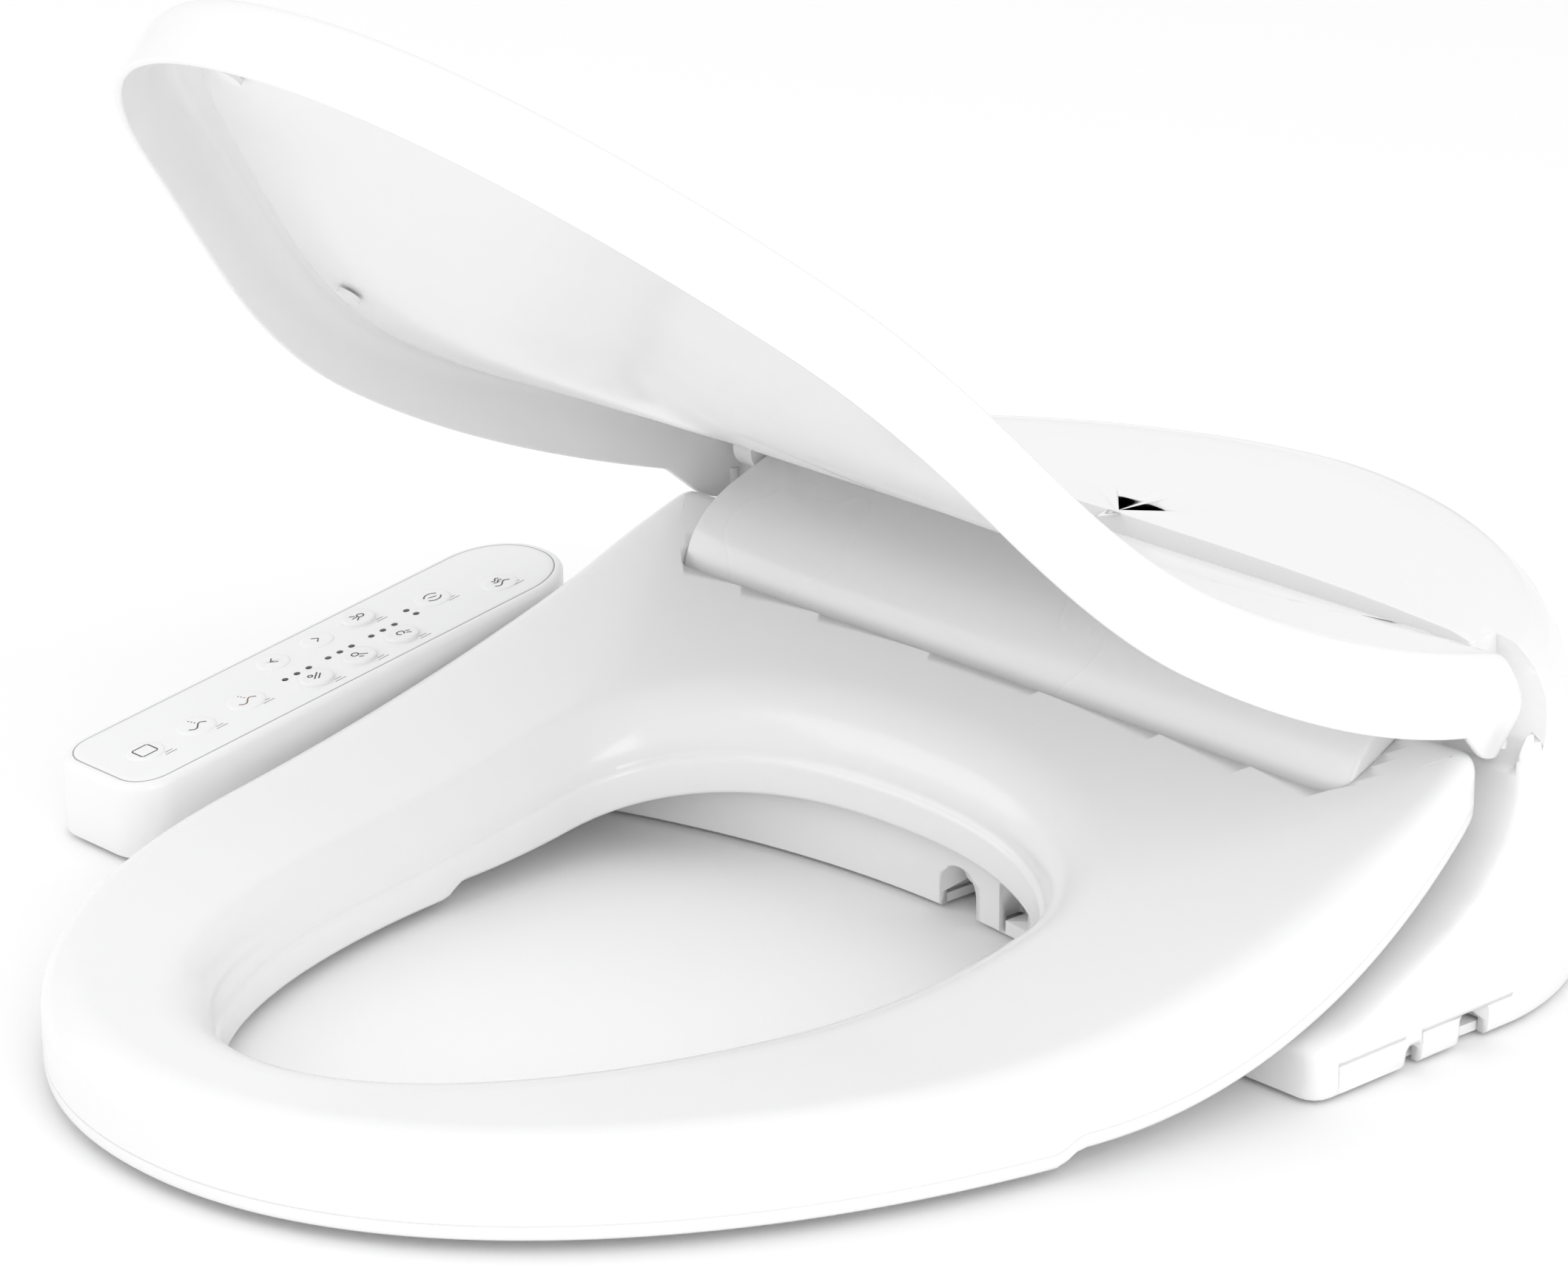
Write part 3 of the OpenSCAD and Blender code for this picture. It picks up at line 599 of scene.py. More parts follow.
@dataclass
class Seat:
    """The heated seat ring with its two rear ears."""

    opening_half: float = 100.0
    opening_mid_y: float = -235.0
    opening_front: float = 199.0
    opening_rear: float = 55.0
    outer_round: float = 13.0
    inner_round: float = 18.0
    outer_squash: float = 0.93
    inner_squash: float = 0.86
    ear_round: float = 8.0
    notch_depth: float = 60.0
    notch_corner: float = 10.0
    front_count: int = 110
    rear_count: int = 110

    def outline(self) -> Points:
        """The outer outline, closed straight across behind the ears.

        Returns:
            Its points, from the front to the right and round.
        """
        s = SIZES
        front = [
            Vector((s.seat_half * math.sin(a) ** (2 / s.seat_power),
                    s.seat_mid_y - (s.seat_reach + s.seat_mid_y) * math.cos(a) ** (2 / s.seat_power), 0))
            for a in (math.pi / 2 * i / 240 for i in range(241))
        ]
        corner, end = 8.0, s.ear_end_y
        tail = [Vector((s.tail_x(s.seat_half, y, s.seat_mid_y), y, 0))
                for y in (mix(s.seat_mid_y, end - corner, i / 60) for i in range(1, 61))]
        x_end = s.tail_x(s.seat_half, end - corner, s.seat_mid_y) - 0.4
        bend = arc((x_end - corner, end - corner), corner, 0, 90, 12)
        rear = tail + bend[1:] + [Vector((mix(x_end - corner, 0, i / 60), end, 0)) for i in range(1, 61)]
        return mirrored(resample(front, self.front_count + 1)
                        + resample([front[-1]] + rear, self.rear_count + 1)[1:])

    def opening(self) -> Points:
        """The opening's outline.

        Returns:
            One point for each point of the outer outline.
        """
        half = []
        for i in range(self.front_count + self.rear_count + 1):
            if i <= self.front_count:
                a = math.pi / 2 * i / self.front_count
                p = (self.opening_half * math.sin(a) ** (2 / 2.1),
                     self.opening_mid_y - self.opening_front * abs(math.cos(a)) ** (2 / 2.1))
            else:
                a = math.pi / 2 * (1 + (i - self.front_count) / self.rear_count)
                p = (self.opening_half * abs(math.sin(a)) ** (2 / 2.3),
                     self.opening_mid_y + self.opening_rear * abs(math.cos(a)) ** (2 / 2.3))
            half.append(Vector((*p, 0)))
        return mirrored(half)

    def rails(self) -> list[Points]:
        """Loops of the ring, from the underside round the outside to the opening and back.

        Returns:
            The closed loops in order.
        """
        s = SIZES
        outer, inner = self.outline(), self.opening()
        on, cn = normals(outer), [-n for n in normals(inner)]
        n = len(outer)

        def round_of(y: float) -> float:
            """Radius of the outer edge, which is smaller at the ears."""
            return mix(self.outer_round, self.ear_round, ease((y + 175) / 45))

        def at(i: int, side: str, inset: float, height: Callable[[float], float]) -> Vector:
            """A point beside the outer outline, side o, or beside the opening, side c."""
            p = outer[i] + on[i] * inset if side == "o" else inner[i] + cn[i] * inset
            return Vector((p.x, p.y, height(p.y)))

        rails: list[Points] = []
        low = s.seat_low
        for inset, lift in ((3.2, 1.8), (3.2, 0.3), (2.2, 0.0), (0.9, 0.25), (0.15, 1.0), (0.0, 2.0)):
            rails.append([at(i, "o", inset, lambda y, k=lift: low(y) + k) for i in range(n)])
        for inset, lift in ((0.0, 4.6), (0.4, 4.75), (0.4, 5.05), (0.0, 5.2)):
            rails.append([at(i, "o", inset, lambda y, k=lift: low(y) + k) for i in range(n)])
        for share in (0.5, 1.0):
            rails.append([
                Vector((outer[i].x, outer[i].y,
                        mix(low(outer[i].y) + 5.2, s.seat_top(outer[i].y) - round_of(outer[i].y), share)))
                for i in range(n)])
        for k in range(1, 10):
            a = math.radians(10 * k)
            rail = []
            for i in range(n):
                r = round_of(outer[i].y)
                p = outer[i] + on[i] * r * (1 - math.cos(a))
                rail.append(Vector((p.x, p.y, s.seat_top(p.y) - self.outer_squash * r * (1 - math.sin(a)))))
            rails.append(rail)
        for k in range(1, 12):
            rail = []
            for i in range(n):
                a_end = outer[i] + on[i] * round_of(outer[i].y)
                b_end = inner[i] + cn[i] * self.inner_round
                p = a_end.lerp(b_end, k / 12)
                rail.append(Vector((p.x, p.y, s.seat_top(p.y))))
            rails.append(rail)
        for k in range(9, -1, -1):
            a = math.radians(10 * k)
            rail = []
            for i in range(n):
                r = self.inner_round
                p = inner[i] + cn[i] * r * (1 - math.cos(a))
                rail.append(Vector((p.x, p.y, s.seat_top(p.y) - self.inner_squash * r * (1 - math.sin(a)))))
            rails.append(rail)
        for inset, drop in ((-0.1, 1.4), (-0.9, 1.9), (-1.6, 2.6), (-1.8, 3.6)):
            fall = self.inner_squash * self.inner_round
            rails.append([at(i, "c", inset, lambda y, d=drop, f=fall: s.seat_top(y) - f - d)
                          for i in range(n)])
        for inset, lift in ((-1.8, 2.0), (-1.5, 0.9), (-0.6, 0.15), (0.6, 0.0), (1.6, 0.3), (1.6, 1.8)):
            rails.append([at(i, "c", inset, lambda y, k=lift: low(y) + k) for i in range(n)])
        return rails

    def build(self) -> None:
        """Makes the ring and cuts the notch for the housing's nose."""
        s = SIZES
        ring = Skin().loops(self.rails()).close_ring().finish("seat_ring", Look.SHELL, 50)
        notch = block((2 * s.notch_half, self.notch_depth, 200), (0, s.notch_y + self.notch_depth / 2, 60),
                      self.notch_corner, 10, True)
        place(carve(ring, notch), Body.SEAT.value, Slot.SHELL, "seat_shell", "seat_underside")


# ---------------------------------------------------------------- lid


@dataclass
class Lid:
    """The half-open lid: its shell with rear corners and the panel that lines it."""

    half: float = 189.2
    mid_y: float = -196.0
    reach: float = 484.0
    rear_y: float = -89.0
    tip_y: float = -80.0
    wall: float = 2.6
    bulge: float = 4.0
    centre_y: float = -262.0
    front_count: int = 100
    rear_count: int = 100
    liner_gap: float = 1.2
    edge_reach: float = 5.5
    edge_drop: float = 9.0
    pad_radius: float = 4.2
    pad_height: float = 1.6
    pad_sink: float = 5.6
    pad_places: tuple[tuple[float, float], ...] = ((75, -430), (-75, -430), (150, -290), (-150, -290))

    def outline(self) -> Points:
        """The closed lid's outline in plan, with its rear corners reaching behind the middle.

        Returns:
            Its points, from the front to the right and round.
        """
        s = SIZES
        front = [
            Vector((self.half * math.sin(a) ** (2 / s.seat_power),
                    self.mid_y - (self.reach + self.mid_y) * math.cos(a) ** (2 / s.seat_power), 0))
            for a in (math.pi / 2 * i / 240 for i in range(241))
        ]
        corner = 9.0
        tail = [Vector((s.tail_x(self.half, y, self.mid_y), y, 0))
                for y in (mix(self.mid_y, self.tip_y - corner, i / 50) for i in range(1, 51))]
        x_end = tail[-1].x
        bend = arc((x_end - corner, self.tip_y - corner), corner, 8, 90, 10)
        step = [Vector((mix(158.0, 149.6, i / 8), mix(self.tip_y, self.rear_y, ease(i / 8)), 0))
                for i in range(9)]
        rear = [Vector((mix(149.6, 0, i / 40), self.rear_y, 0)) for i in range(1, 41)]
        side = resample([front[-1]] + tail + bend[1:] + step, self.rear_count + 1)[1:]
        return mirrored(resample(front, self.front_count + 1) + side + resample(rear, 30))

    def top(self, y: float) -> float:
        """Height of the upper face, rounded down at the rear corners."""
        over = clamp((y + 91) / 11)
        return SIZES.lid_top(y) - 9 * (1 - math.sqrt(1 - min(over, 0.995) ** 2))

    def rim(self, p: Vector) -> float:
        """Height of the lower edge: a deep skirt at the sides and a thin edge behind the nose.

        Args:
            p: a point of the outline.

        Returns:
            The height of the edge there, with the lid closed.
        """
        over = clamp((p.y + 97) / 17)
        side = min(SIZES.lid_rim(p.y), 78.0) + 15 * (1 - math.sqrt(1 - min(over, 0.995) ** 2))
        share = ease((157.5 - abs(p.x)) / 6) if p.y > -100 else 0.0
        return mix(side, self.top(p.y) - 4.0, share)

    def rails(self) -> tuple[list[Points], list[Points]]:
        """Loops of both pieces.

        Returns:
            The shell's loops from its crown outward and back underneath, and the lining's loops.
        """
        path = self.outline()
        inward = normals(path)
        n = len(path)
        centre = Vector((0, self.centre_y, 0))

        def inset(i: int, d: float) -> Vector:
            """A point of the outline, pulled in."""
            return path[i] + inward[i] * d

        def field_point(i: int, s: float, down: float) -> Vector:
            """A point of the bulging field, a share s of the way out."""
            edge = inset(i, self.edge_reach)
            p = centre + (edge - centre) * s
            fade = 1 - ease((p.y + 200) / 90)
            return Vector((p.x, p.y, self.top(p.y) - down + self.bulge * (1 - s * s) * fade))

        def thin(p: Vector) -> float:
            """Share of the full edge height that the lid has there."""
            return clamp((self.top(p.y) - self.rim(p)) / 22.0)

        shell: list[Points] = []
        scales = (0.04, 0.12, 0.22, 0.32, 0.42, 0.52, 0.62, 0.72, 0.8, 0.87, 0.93, 0.97, 1.0)
        shell += [[field_point(i, k, 0) for i in range(n)] for k in scales]
        reach, drop = self.edge_reach, self.edge_drop
        for k in range(1, 9):
            a = math.radians(90 * k / 8)
            shell.append([
                Vector((*inset(i, reach * (1 - math.sin(a))).xy,
                        self.top(path[i].y) - drop * thin(path[i]) * (1 - math.cos(a))))
                for i in range(n)])
        for share in (0.5, 1.0):
            shell.append([
                Vector((*path[i].xy, mix(self.top(path[i].y) - drop * thin(path[i]),
                                         self.rim(path[i]) + 0.7, share))) for i in range(n)])
        for d, lift in ((0.25, 0.2), (0.8, 0.0), (1.8, 0.0), (2.35, 0.2), (self.wall, 0.7)):
            shell.append([Vector((*inset(i, d).xy, self.rim(path[i]) + lift)) for i in range(n)])
        deep = 7.0
        shell.append([
            Vector((*inset(i, self.wall + 0.3).xy,
                    min(self.rim(path[i]) + 3, self.top(path[i].y) - self.wall)
                    if thin(path[i]) < 0.9 else self.top(path[i].y) - self.wall - drop - 2))
            for i in range(n)])
        for k in range(0, 7):
            a = math.radians(90 * k / 6)
            shell.append([
                Vector((*inset(i, self.wall + 0.6 + deep * (1 - math.cos(a))).xy,
                        self.top(path[i].y) - self.wall
                        - (drop + 1) * thin(path[i]) * (1 - math.sin(a))))
                for i in range(n)])
        under = [s for s in reversed(scales) if s < 0.965]
        shell += [[field_point(i, k, self.wall) for i in range(n)] for k in under]

        down = self.wall + self.liner_gap
        lining: list[Points] = []
        for k, extra in ((0.04, 0.0), (0.2, 0.0), (0.4, 0.0), (0.6, 0.0), (0.75, 0.0), (0.85, 0.0),
                         (0.915, 0.0)):
            lining.append([field_point(i, k, self.wall + 0.1 + extra) for i in range(n)])
        for k, extra in ((0.932, 0.3), (0.934, 0.7), (0.93, 1.05), (0.922, 1.2), (0.86, 1.2), (0.75, 1.2),
                         (0.6, 1.2), (0.4, 1.2), (0.2, 1.2), (0.04, 1.2)):
            lining.append([field_point(i, k, down + extra - 0.9) for i in range(n)])
        return shell, lining

    def build(self) -> None:
        """Makes both pieces and opens them to their angle at rest."""
        s = SIZES
        centre = (0, s.lid_axis_y, s.lid_axis_z)
        shell, lining = self.rails()
        skin = Skin().loops(shell).caps().turn(-s.lid_angle, "X", centre)
        place(skin.finish("lid_cover", Look.LID, 50), Body.LID.value, Slot.SHELL, "lid_shell")
        skin = Skin().loops(lining).caps().turn(-s.lid_angle, "X", centre)
        place(skin.finish("lid_lining", Look.LID, 50), Body.LID.value, Slot.LINER, "lid_liner")
        pads = self.pads().turn(-s.lid_angle, "X", centre)
        place(pads.finish("lid_pads", Look.LID), Body.LID.value, Slot.SOFT, "lid_bumpers")

    def pads(self) -> Skin:
        """The low round pads on the closed lid's lining."""
        skin = Skin()
        for x, y in self.pad_places:
            skin.join(rod(self.pad_radius, self.pad_height, (x, y, self.top(y) - self.pad_sink), segments=32))
        return skin


# ---------------------------------------------------------------- housing


@dataclass(frozen=True)
class Cut:
    """A box with rounded edges that is taken out of the housing."""

    size: tuple[float, float, float]
    centre: tuple[float, float, float]
    round_edges: float = 0.0
    segments: int = 4

    def skin(self) -> Skin:
        """The cut's shape."""
        return block(self.size, self.centre, self.round_edges, self.segments)


@dataclass
class Housing:
    """The domed housing with its side arms, nose, pockets and ports."""

    bottom: float = 1.5
    corner: float = 3.0
    left_arm_x: float = 188.7
    swell: tuple[tuple[float, float], ...] = (
        (1.5, 0.994), (4, 1.0), (20, 1.0), (40, 0.985), (60, 0.967), (80, 0.947), (90, 0.93),
        (98, 0.902), (103.5, 0.865), (107, 0.78), (109, 0.62), (110.4, 0.4), (111, 0.05))
    ridge: tuple[tuple[float, float], ...] = (
        (1.5, -199), (15.5, -199), (17.5, -197.6), (19.5, -192), (22, -180), (30, -158.9), (38, -138.4),
        (45.5, -124.1), (57, -109.7), (68, -100.6), (84, -93.9), (93.7, -87.5), (97, -86), (112, -86))
    front_count: int = 90
    side_count: int = 150
    nozzle_x: float = 18.0
    nozzle_radius: float = 8.6
    nozzle_length: float = 34.0
    nozzle_start_y: float = -150.0
    pocket_radius: float = 25.0
    pocket_x: float = 178.3
    below_nozzle: Cut = Cut((17.2, 34, 11), (18, -167, 3.1))
    wall_slot: Cut = Cut((3.0, 14, 16), (39.5, -172, 10.0), 0.6, 2)
    dryer_outlet: Cut = Cut((13, 30, 11), (46, -180, 12.0), 1.2, 3)
    side_hole: Cut = Cut((14, 7.4, 9.0), (194, -157.0, 4.2), 2.4)
    inlet_opening: Cut = Cut((26, 13.2, 12.6), (192, -130.2, 5.3), 2.2)
    release_window: Cut = Cut((10, 15.2, 9.2), (-194, -79, 10), 1.0, 3)
    door_grooves: tuple[Cut, ...] = (
        Cut((1.4, 29, 0.5), (194.2, -175.4, 11.5)), Cut((1.4, 0.5, 8), (194.2, -190.0, 7.6)),
        Cut((1.4, 40, 0.45), (194.2, -133, 11.4)), Cut((1.4, 0.5, 4), (194.2, -153.2, 9.6)))
    door: Cut = Cut((2.2, 27.0, 8.6), (192.7, -175.6, 6.6), 0.5, 2)

    def level(self, z: float, inset: float = 0.0) -> Points:
        """The housing's closed outline at a height.

        Args:
            z: the height.
            inset: how far the outline is pulled in.

        Returns:
            The outline's points at that height.
        """
        s = SIZES
        scale = interpolate(self.swell, z)
        half = s.side_x * scale - inset
        depth = s.dome_depth * scale - inset
        front = interpolate(self.ridge, z) + inset
        corner = min(mix(6.0, self.corner, ease((z - 15) / 10)), half * 0.3)
        power = 2 / s.dome_power
        if front + corner < s.dome_mid_y:
            side = [Vector((half, mix(front + corner, s.dome_mid_y, i / 30), 0)) for i in range(30)]
            start = 0.0
        else:
            side = []
            start = math.asin(clamp((front + corner - s.dome_mid_y) / depth) ** (1 / power))
        x_front = half * math.cos(start) ** power
        round_start = [Vector((x_front - corner * (1 - math.sin(a)), front + corner * (1 - math.cos(a)), 0))
                       for a in (math.pi / 2 * i / 6 for i in range(6))]
        turns = [mix(start, math.pi / 2, i / 160) for i in range(161)]
        rear = [Vector((half * abs(math.cos(a)) ** power, s.dome_mid_y + depth * math.sin(a) ** power, 0))
                for a in turns]
        right = resample(round_start + side + rear, self.side_count + 1)
        whole = right + [Vector((-p.x, p.y, 0)) for p in reversed(right[:-1])]
        x_edge = x_front - corner
        ends = [Vector((x, max(s.wall_y(x) + inset, front), 0))
                for x in (mix(-x_edge, x_edge, i / self.front_count) for i in range(1, self.front_count))]
        loop = whole + ends
        result = []
        for p in loop:
            x = p.x
            if x < 0:
                limit = mix(self.left_arm_x, s.side_x, ease((p.y + 144) / 8))
                x = max(x, -limit + inset)
            result.append(Vector((x, p.y, z)))
        return result

    def shell(self) -> bpy.types.Object:
        """The dome and arms as one smooth skin.

        Returns:
            The uncut shell as an object.
        """
        heights = [self.bottom + 0.6, 3, 6, 10, 13, 15.5, 16.5, 17.5, 18.5, 19.5, 21, 23.5, 26.5, 30, 34, 38,
                   42, 45.5, 49, 53, 57, 61, 65, 69, 73, 77, 81, 84, 87, 90, 92, 94, 96, 98, 100, 102, 103.5,
                   104.8, 106, 107, 107.8, 108.5, 109.1, 109.6, 110.1, 110.5, 110.8, 110.97]
        skin = Skin()
        inner = self.level(self.bottom, 3.0)
        skin.loop([Vector((p.x, p.y, 6.0)) for p in inner])
        skin.loop(inner)
        skin.loop(self.level(self.bottom, 0.7))
        skin.loops(self.level(z) for z in heights)
        skin.caps()
        return skin.finish("housing_shell", Look.HOUSING, 48)

    def pocket(self, side: int) -> Skin:
        """Hollow behind a seat ear in which a rear corner of the lid turns.

        Args:
            side: 1 for the right ear and -1 for the left.

        Returns:
            The hollow's shape.
        """
        s = SIZES
        inner, outer, r = s.nose_half - 0.2, self.pocket_x, self.pocket_radius
        x0, x1 = (inner, outer) if side > 0 else (-outer, -inner)
        profile = [(-135, 74.5), (-118, 75)]
        turns = [math.radians(a) for a in range(-90, 21, 10)]
        profile += [(s.lid_axis_y + r * math.cos(a), s.lid_axis_z + r * math.sin(a)) for a in turns]
        profile += [(-73.5, 125), (-135, 125)]
        return prism(profile, x0, x1)

    def cutters(self) -> list[Skin]:
        """Everything that is cut from the shell."""
        nozzle = rod(self.nozzle_radius, self.nozzle_length,
                     (self.nozzle_x, self.nozzle_start_y, self.nozzle_radius), lying=True)
        cuts = [self.below_nozzle, self.wall_slot, self.dryer_outlet, self.side_hole, self.inlet_opening,
                self.release_window, *self.door_grooves]
        return [self.pocket(1), self.pocket(-1), nozzle] + [cut.skin() for cut in cuts]

    def nose(self) -> bpy.types.Object:
        """The raised deck between the seat's ears, with rounded front and crisp rear edge.

        Returns:
            The deck as an object.
        """
        s = SIZES
        front = [Vector((0, y, z)) for y, z in (
            (-143.0, 48), (-141.0, 60), (-139.0, 69), (-137.6, 73.5), (-135.4, 78.2), (-132.2, 82.6),
            (-127.6, 87.0), (-122.4, 90.4), (-117.0, 92.9), (-111.0, 95.1), (-104.0, 97.6), (-98.8, 99.3))]
        curve = spline(front, 5)
        profile = [(p.y, p.z) for p in curve]
        profile += [(-97.6, 99.5), (-97.1, 99.1), (-97.2, 98.4), (-100.8, 88.2), (-100.2, 86.6),
                    (-99.0, 86.0), (s.step_y + 2.0, 86.0), (s.step_y + 2.0, 48)]
        skin = Skin()
        for x, shrink in ((-1.0, 1.6), (-0.999, 0.9), (-0.9965, 0.35), (-0.993, 0.08), (-0.988, 0.0),
                          (-0.5, 0.0), (0.0, 0.0), (0.5, 0.0), (0.988, 0.0), (0.993, 0.08), (0.9965, 0.35),
                          (0.999, 0.9), (1.0, 1.6)):
            skin.loop([Vector((x * s.nose_half, y + (shrink if y < -110 else 0),
                               z - (shrink if z > 80 else 0))) for y, z in profile])
        for edges in (skin.first, skin.last):
            bmesh.ops.edgeloop_fill(skin.bm, edges=edges)
        return skin.finish("nose_deck", Look.HOUSING, 32)

    def service_door(self) -> bpy.types.Object:
        """The flat cover beside the ports."""
        return self.door.skin().finish("service_door", Look.HOUSING)

    def build(self) -> None:
        """Makes the housing's pieces."""
        shell = carve(self.shell(), *self.cutters())
        place(shell, Body.HOUSING.value, Slot.SHELL, "rear_cover", "right_side_cover", "left_side_cover")
        place(self.nose(), Body.HOUSING.value, Slot.SHELL, "front_cover")
        place(self.service_door(), Body.HOUSING.value, Slot.LINER, "service_cover")


# ---------------------------------------------------------------- control panel


class Icon(Enum):
    """Own simple signs on the keys."""

    SQUARE = "square"
    WAVE_DOTS = "wave_dots"
    WAVE_WARM = "wave_warm"
    BACK = "back"
    FORWARD = "forward"
    SPRAY = "spray"
    DROPS = "drops"
    WARM_DROP = "warm_drop"
    WARM_SEAT = "warm_seat"
    LEAF = "leaf"
    AIR = "air"


@dataclass(frozen=True)
class Key:
    """One key of the panel."""

    name: str
    x: float
    y: float
    radius: float
    icon: Icon
    raised: bool = False
    label: float = 0.0


@dataclass
class Panel:
    """The control arm with its film, keys, signs and lights."""

    x0: float = -240.0
    x1: float = -189.5
    y0: float = -337.5
    y1: float = -145.0
    front_round: float = 14.0
    rear_round: float = 24.0
    edge: float = 2.4
    border: float = 2.9
    keys: tuple[Key, ...] = field(default_factory=lambda: (
        Key("stop_button", -211.8, -318.2, 6.6, Icon.SQUARE, label=9.0),
        Key("rear_wash_button", -211.8, -297.4, 6.8, Icon.WAVE_DOTS, label=9.0),
        Key("front_wash_button", -211.8, -276.8, 6.8, Icon.WAVE_WARM, label=8.0),
        Key("nozzle_back_button", -226.8, -254.0, 6.0, Icon.BACK),
        Key("nozzle_forward_button", -226.8, -235.4, 6.0, Icon.FORWARD),
        Key("nozzle_clean_button", -226.8, -217.4, 6.0, Icon.SPRAY, True, 8.4),
        Key("pressure_button", -203.6, -253.6, 6.0, Icon.DROPS, True, 8.4),
        Key("water_temp_button", -203.6, -235.4, 6.0, Icon.WARM_DROP, True, 8.4),
        Key("seat_temp_button", -203.6, -217.2, 6.0, Icon.WARM_SEAT, True, 8.4),
        Key("power_save_button", -217.0, -192.9, 6.4, Icon.LEAF, label=7.6),
        Key("dryer_button", -206.0, -172.6, 6.4, Icon.AIR, label=7.0)))
    light_x: float = -212.7
    light_rows: tuple[float, ...] = (-254.7, -236.5, -218.0)
    light_step: float = 5.0
    lone_lights: tuple[tuple[float, float], ...] = ((-212.7, -203.6), (-217.5, -204.0))

    def height(self, y: float) -> float:
        """Height of the sloping top."""
        return SIZES.panel_z + (y + 336) * math.tan(math.radians(SIZES.panel_slope))

    def outline(self, inset: float) -> Points:
        """The panel's outline in plan, pulled in by an inset."""
        rf, rr = max(self.front_round - inset, 1), max(self.rear_round - inset, 1)
        x0, x1, y0, y1 = self.x0 + inset, self.x1 - inset, self.y0 + inset, self.y1 - inset
        path = arc((x1 - rf, y0 + rf), rf, -90, 0, 12) + arc((x1 - rr, y1 - rr), rr, 0, 90, 16)
        path += arc((x0 + rr, y1 - rr), rr, 90, 180, 16) + arc((x0 + rf, y0 + rf), rf, 180, 270, 12)
        path.append(path[0])
        return resample(path, 241)[:-1]

    def on_top(self, x: float, y: float, up: float) -> Vector:
        """A point at a height above the sloping top, square to it."""
        slope = math.radians(SIZES.panel_slope)
        return Vector((x, y - up * math.sin(slope), self.height(y) + up * math.cos(slope)))

    def top_loop(self, inset: float, up: float) -> Points:
        """The outline on the sloping top."""
        return [Vector((p.x, p.y, self.height(p.y) + up)) for p in self.outline(inset)]

    def flat_loop(self, inset: float, z: float) -> Points:
        """The outline at a level height."""
        return [Vector((p.x, p.y, z)) for p in self.outline(inset)]

    def casing(self) -> bpy.types.Object:
        """The arm's body with a rounded top edge and a sunk field for the film.

        Returns:
            The body as an object.
        """
        skin = Skin()
        skin.loop(self.flat_loop(3.4, 5.0)).loop(self.flat_loop(3.4, 1.8)).loop(self.flat_loop(1.4, 1.5))
        skin.loop(self.flat_loop(0.4, 1.9)).loop(self.flat_loop(0.0, 2.9)).loop(self.flat_loop(0.0, 12.0))
        skin.loop([Vector((p.x, p.y, mix(12, self.height(p.y) - self.edge, 0.6))) for p in self.outline(0)])
        for k in range(0, 7):
            a = math.radians(15 * k)
            skin.loop(self.top_loop(self.edge * (1 - math.cos(a)), -self.edge * (1 - math.sin(a))))
        skin.loop(self.top_loop(self.border - 0.05, 0.0)).loop(self.top_loop(self.border, -0.4))
        skin.loop(self.top_loop(self.border + 6, -0.4))
        skin.caps()
        return skin.finish("panel_arm", Look.PANEL, 40)

    def border_line(self) -> bpy.types.Object:
        """The thin grey outline in the gap around the film."""
        skin = Skin()
        for inset, up in ((0.02, -0.35), (0.02, 0.0), (0.5, 0.02), (0.5, -0.35)):
            skin.loop(self.top_loop(self.border + inset, up))
        skin.close_ring()
        return skin.finish("panel_outline", Look.OUTLINE, 40)

    def film(self) -> bpy.types.Object:
        """The printed film inside the outline."""
        skin = Skin()
        for inset, up in ((0.5, -0.35), (0.5, 0.05), (0.7, 0.15), (3, 0.15)):
            skin.loop(self.top_loop(self.border + inset, up))
        skin.caps()
        return skin.finish("panel_film", Look.FILM, 40)

    def disc(self, x: float, y: float, profile: Sequence[tuple[float, float]], count: int = 56) -> Skin:
        """A turned disc on the top.

        Args:
            x: its centre across the arm.
            y: its centre along the arm.
            profile: (radius, height) pairs from the outside in.
            count: how many sides it has.

        Returns:
            The disc as a skin.
        """
        skin = Skin()
        slope = math.cos(math.radians(SIZES.panel_slope))
        for radius, up in profile:
            skin.loop([self.on_top(x + radius * math.cos(a), y + radius * slope * math.sin(a), up)
                       for a in (2 * math.pi * i / count for i in range(count))])
        return skin.caps()

    def stroke(self, x: float, y: float, path: Sequence[tuple[float, float]], up: float,
               width: float = 0.26) -> Skin:
        """A printed line: a low rounded bead on the panel.

        Args:
            x: the sign's centre across the arm.
            y: the sign's centre along the arm.
            path: the line's points, as offsets from that centre.
            up: its height above the panel's top.
            width: half its breadth.

        Returns:
            The bead as a skin.
        """
        skin = Skin()
        points = [Vector((p[0], p[1], 0)) for p in path]
        for i, p in enumerate(points):
            a, b = points[max(i - 1, 0)], points[min(i + 1, len(points) - 1)]
            t = (b - a).normalized()
            side = Vector((-t.y, t.x, 0))
            ring = []
            for k in range(8):
                c = 2 * math.pi * k / 8
                q = p + side * width * math.cos(c)
                ring.append(self.on_top(x + q.x, y + q.y, up + 0.05 * math.sin(c)))
            skin.loop(ring)
        return skin.caps()

    def sign(self, key: Key, up: float) -> list[tuple[Skin, Look]]:
        """The strokes of a key's sign. Offsets run to the side and along the arm.

        Args:
            key: the key that the sign is on.
            up: the height of its strokes above the panel's top.

        Returns:
            Each stroke with its ink.
        """
        def wave(length: float, height: float, turns: float = 1.0, shift: float = 0.0) -> Line:
            """A sine wave along the arm."""
            return [(height * math.sin(2 * math.pi * turns * t) + shift, mix(-length, length, t))
                    for t in (i / 22 for i in range(23))]

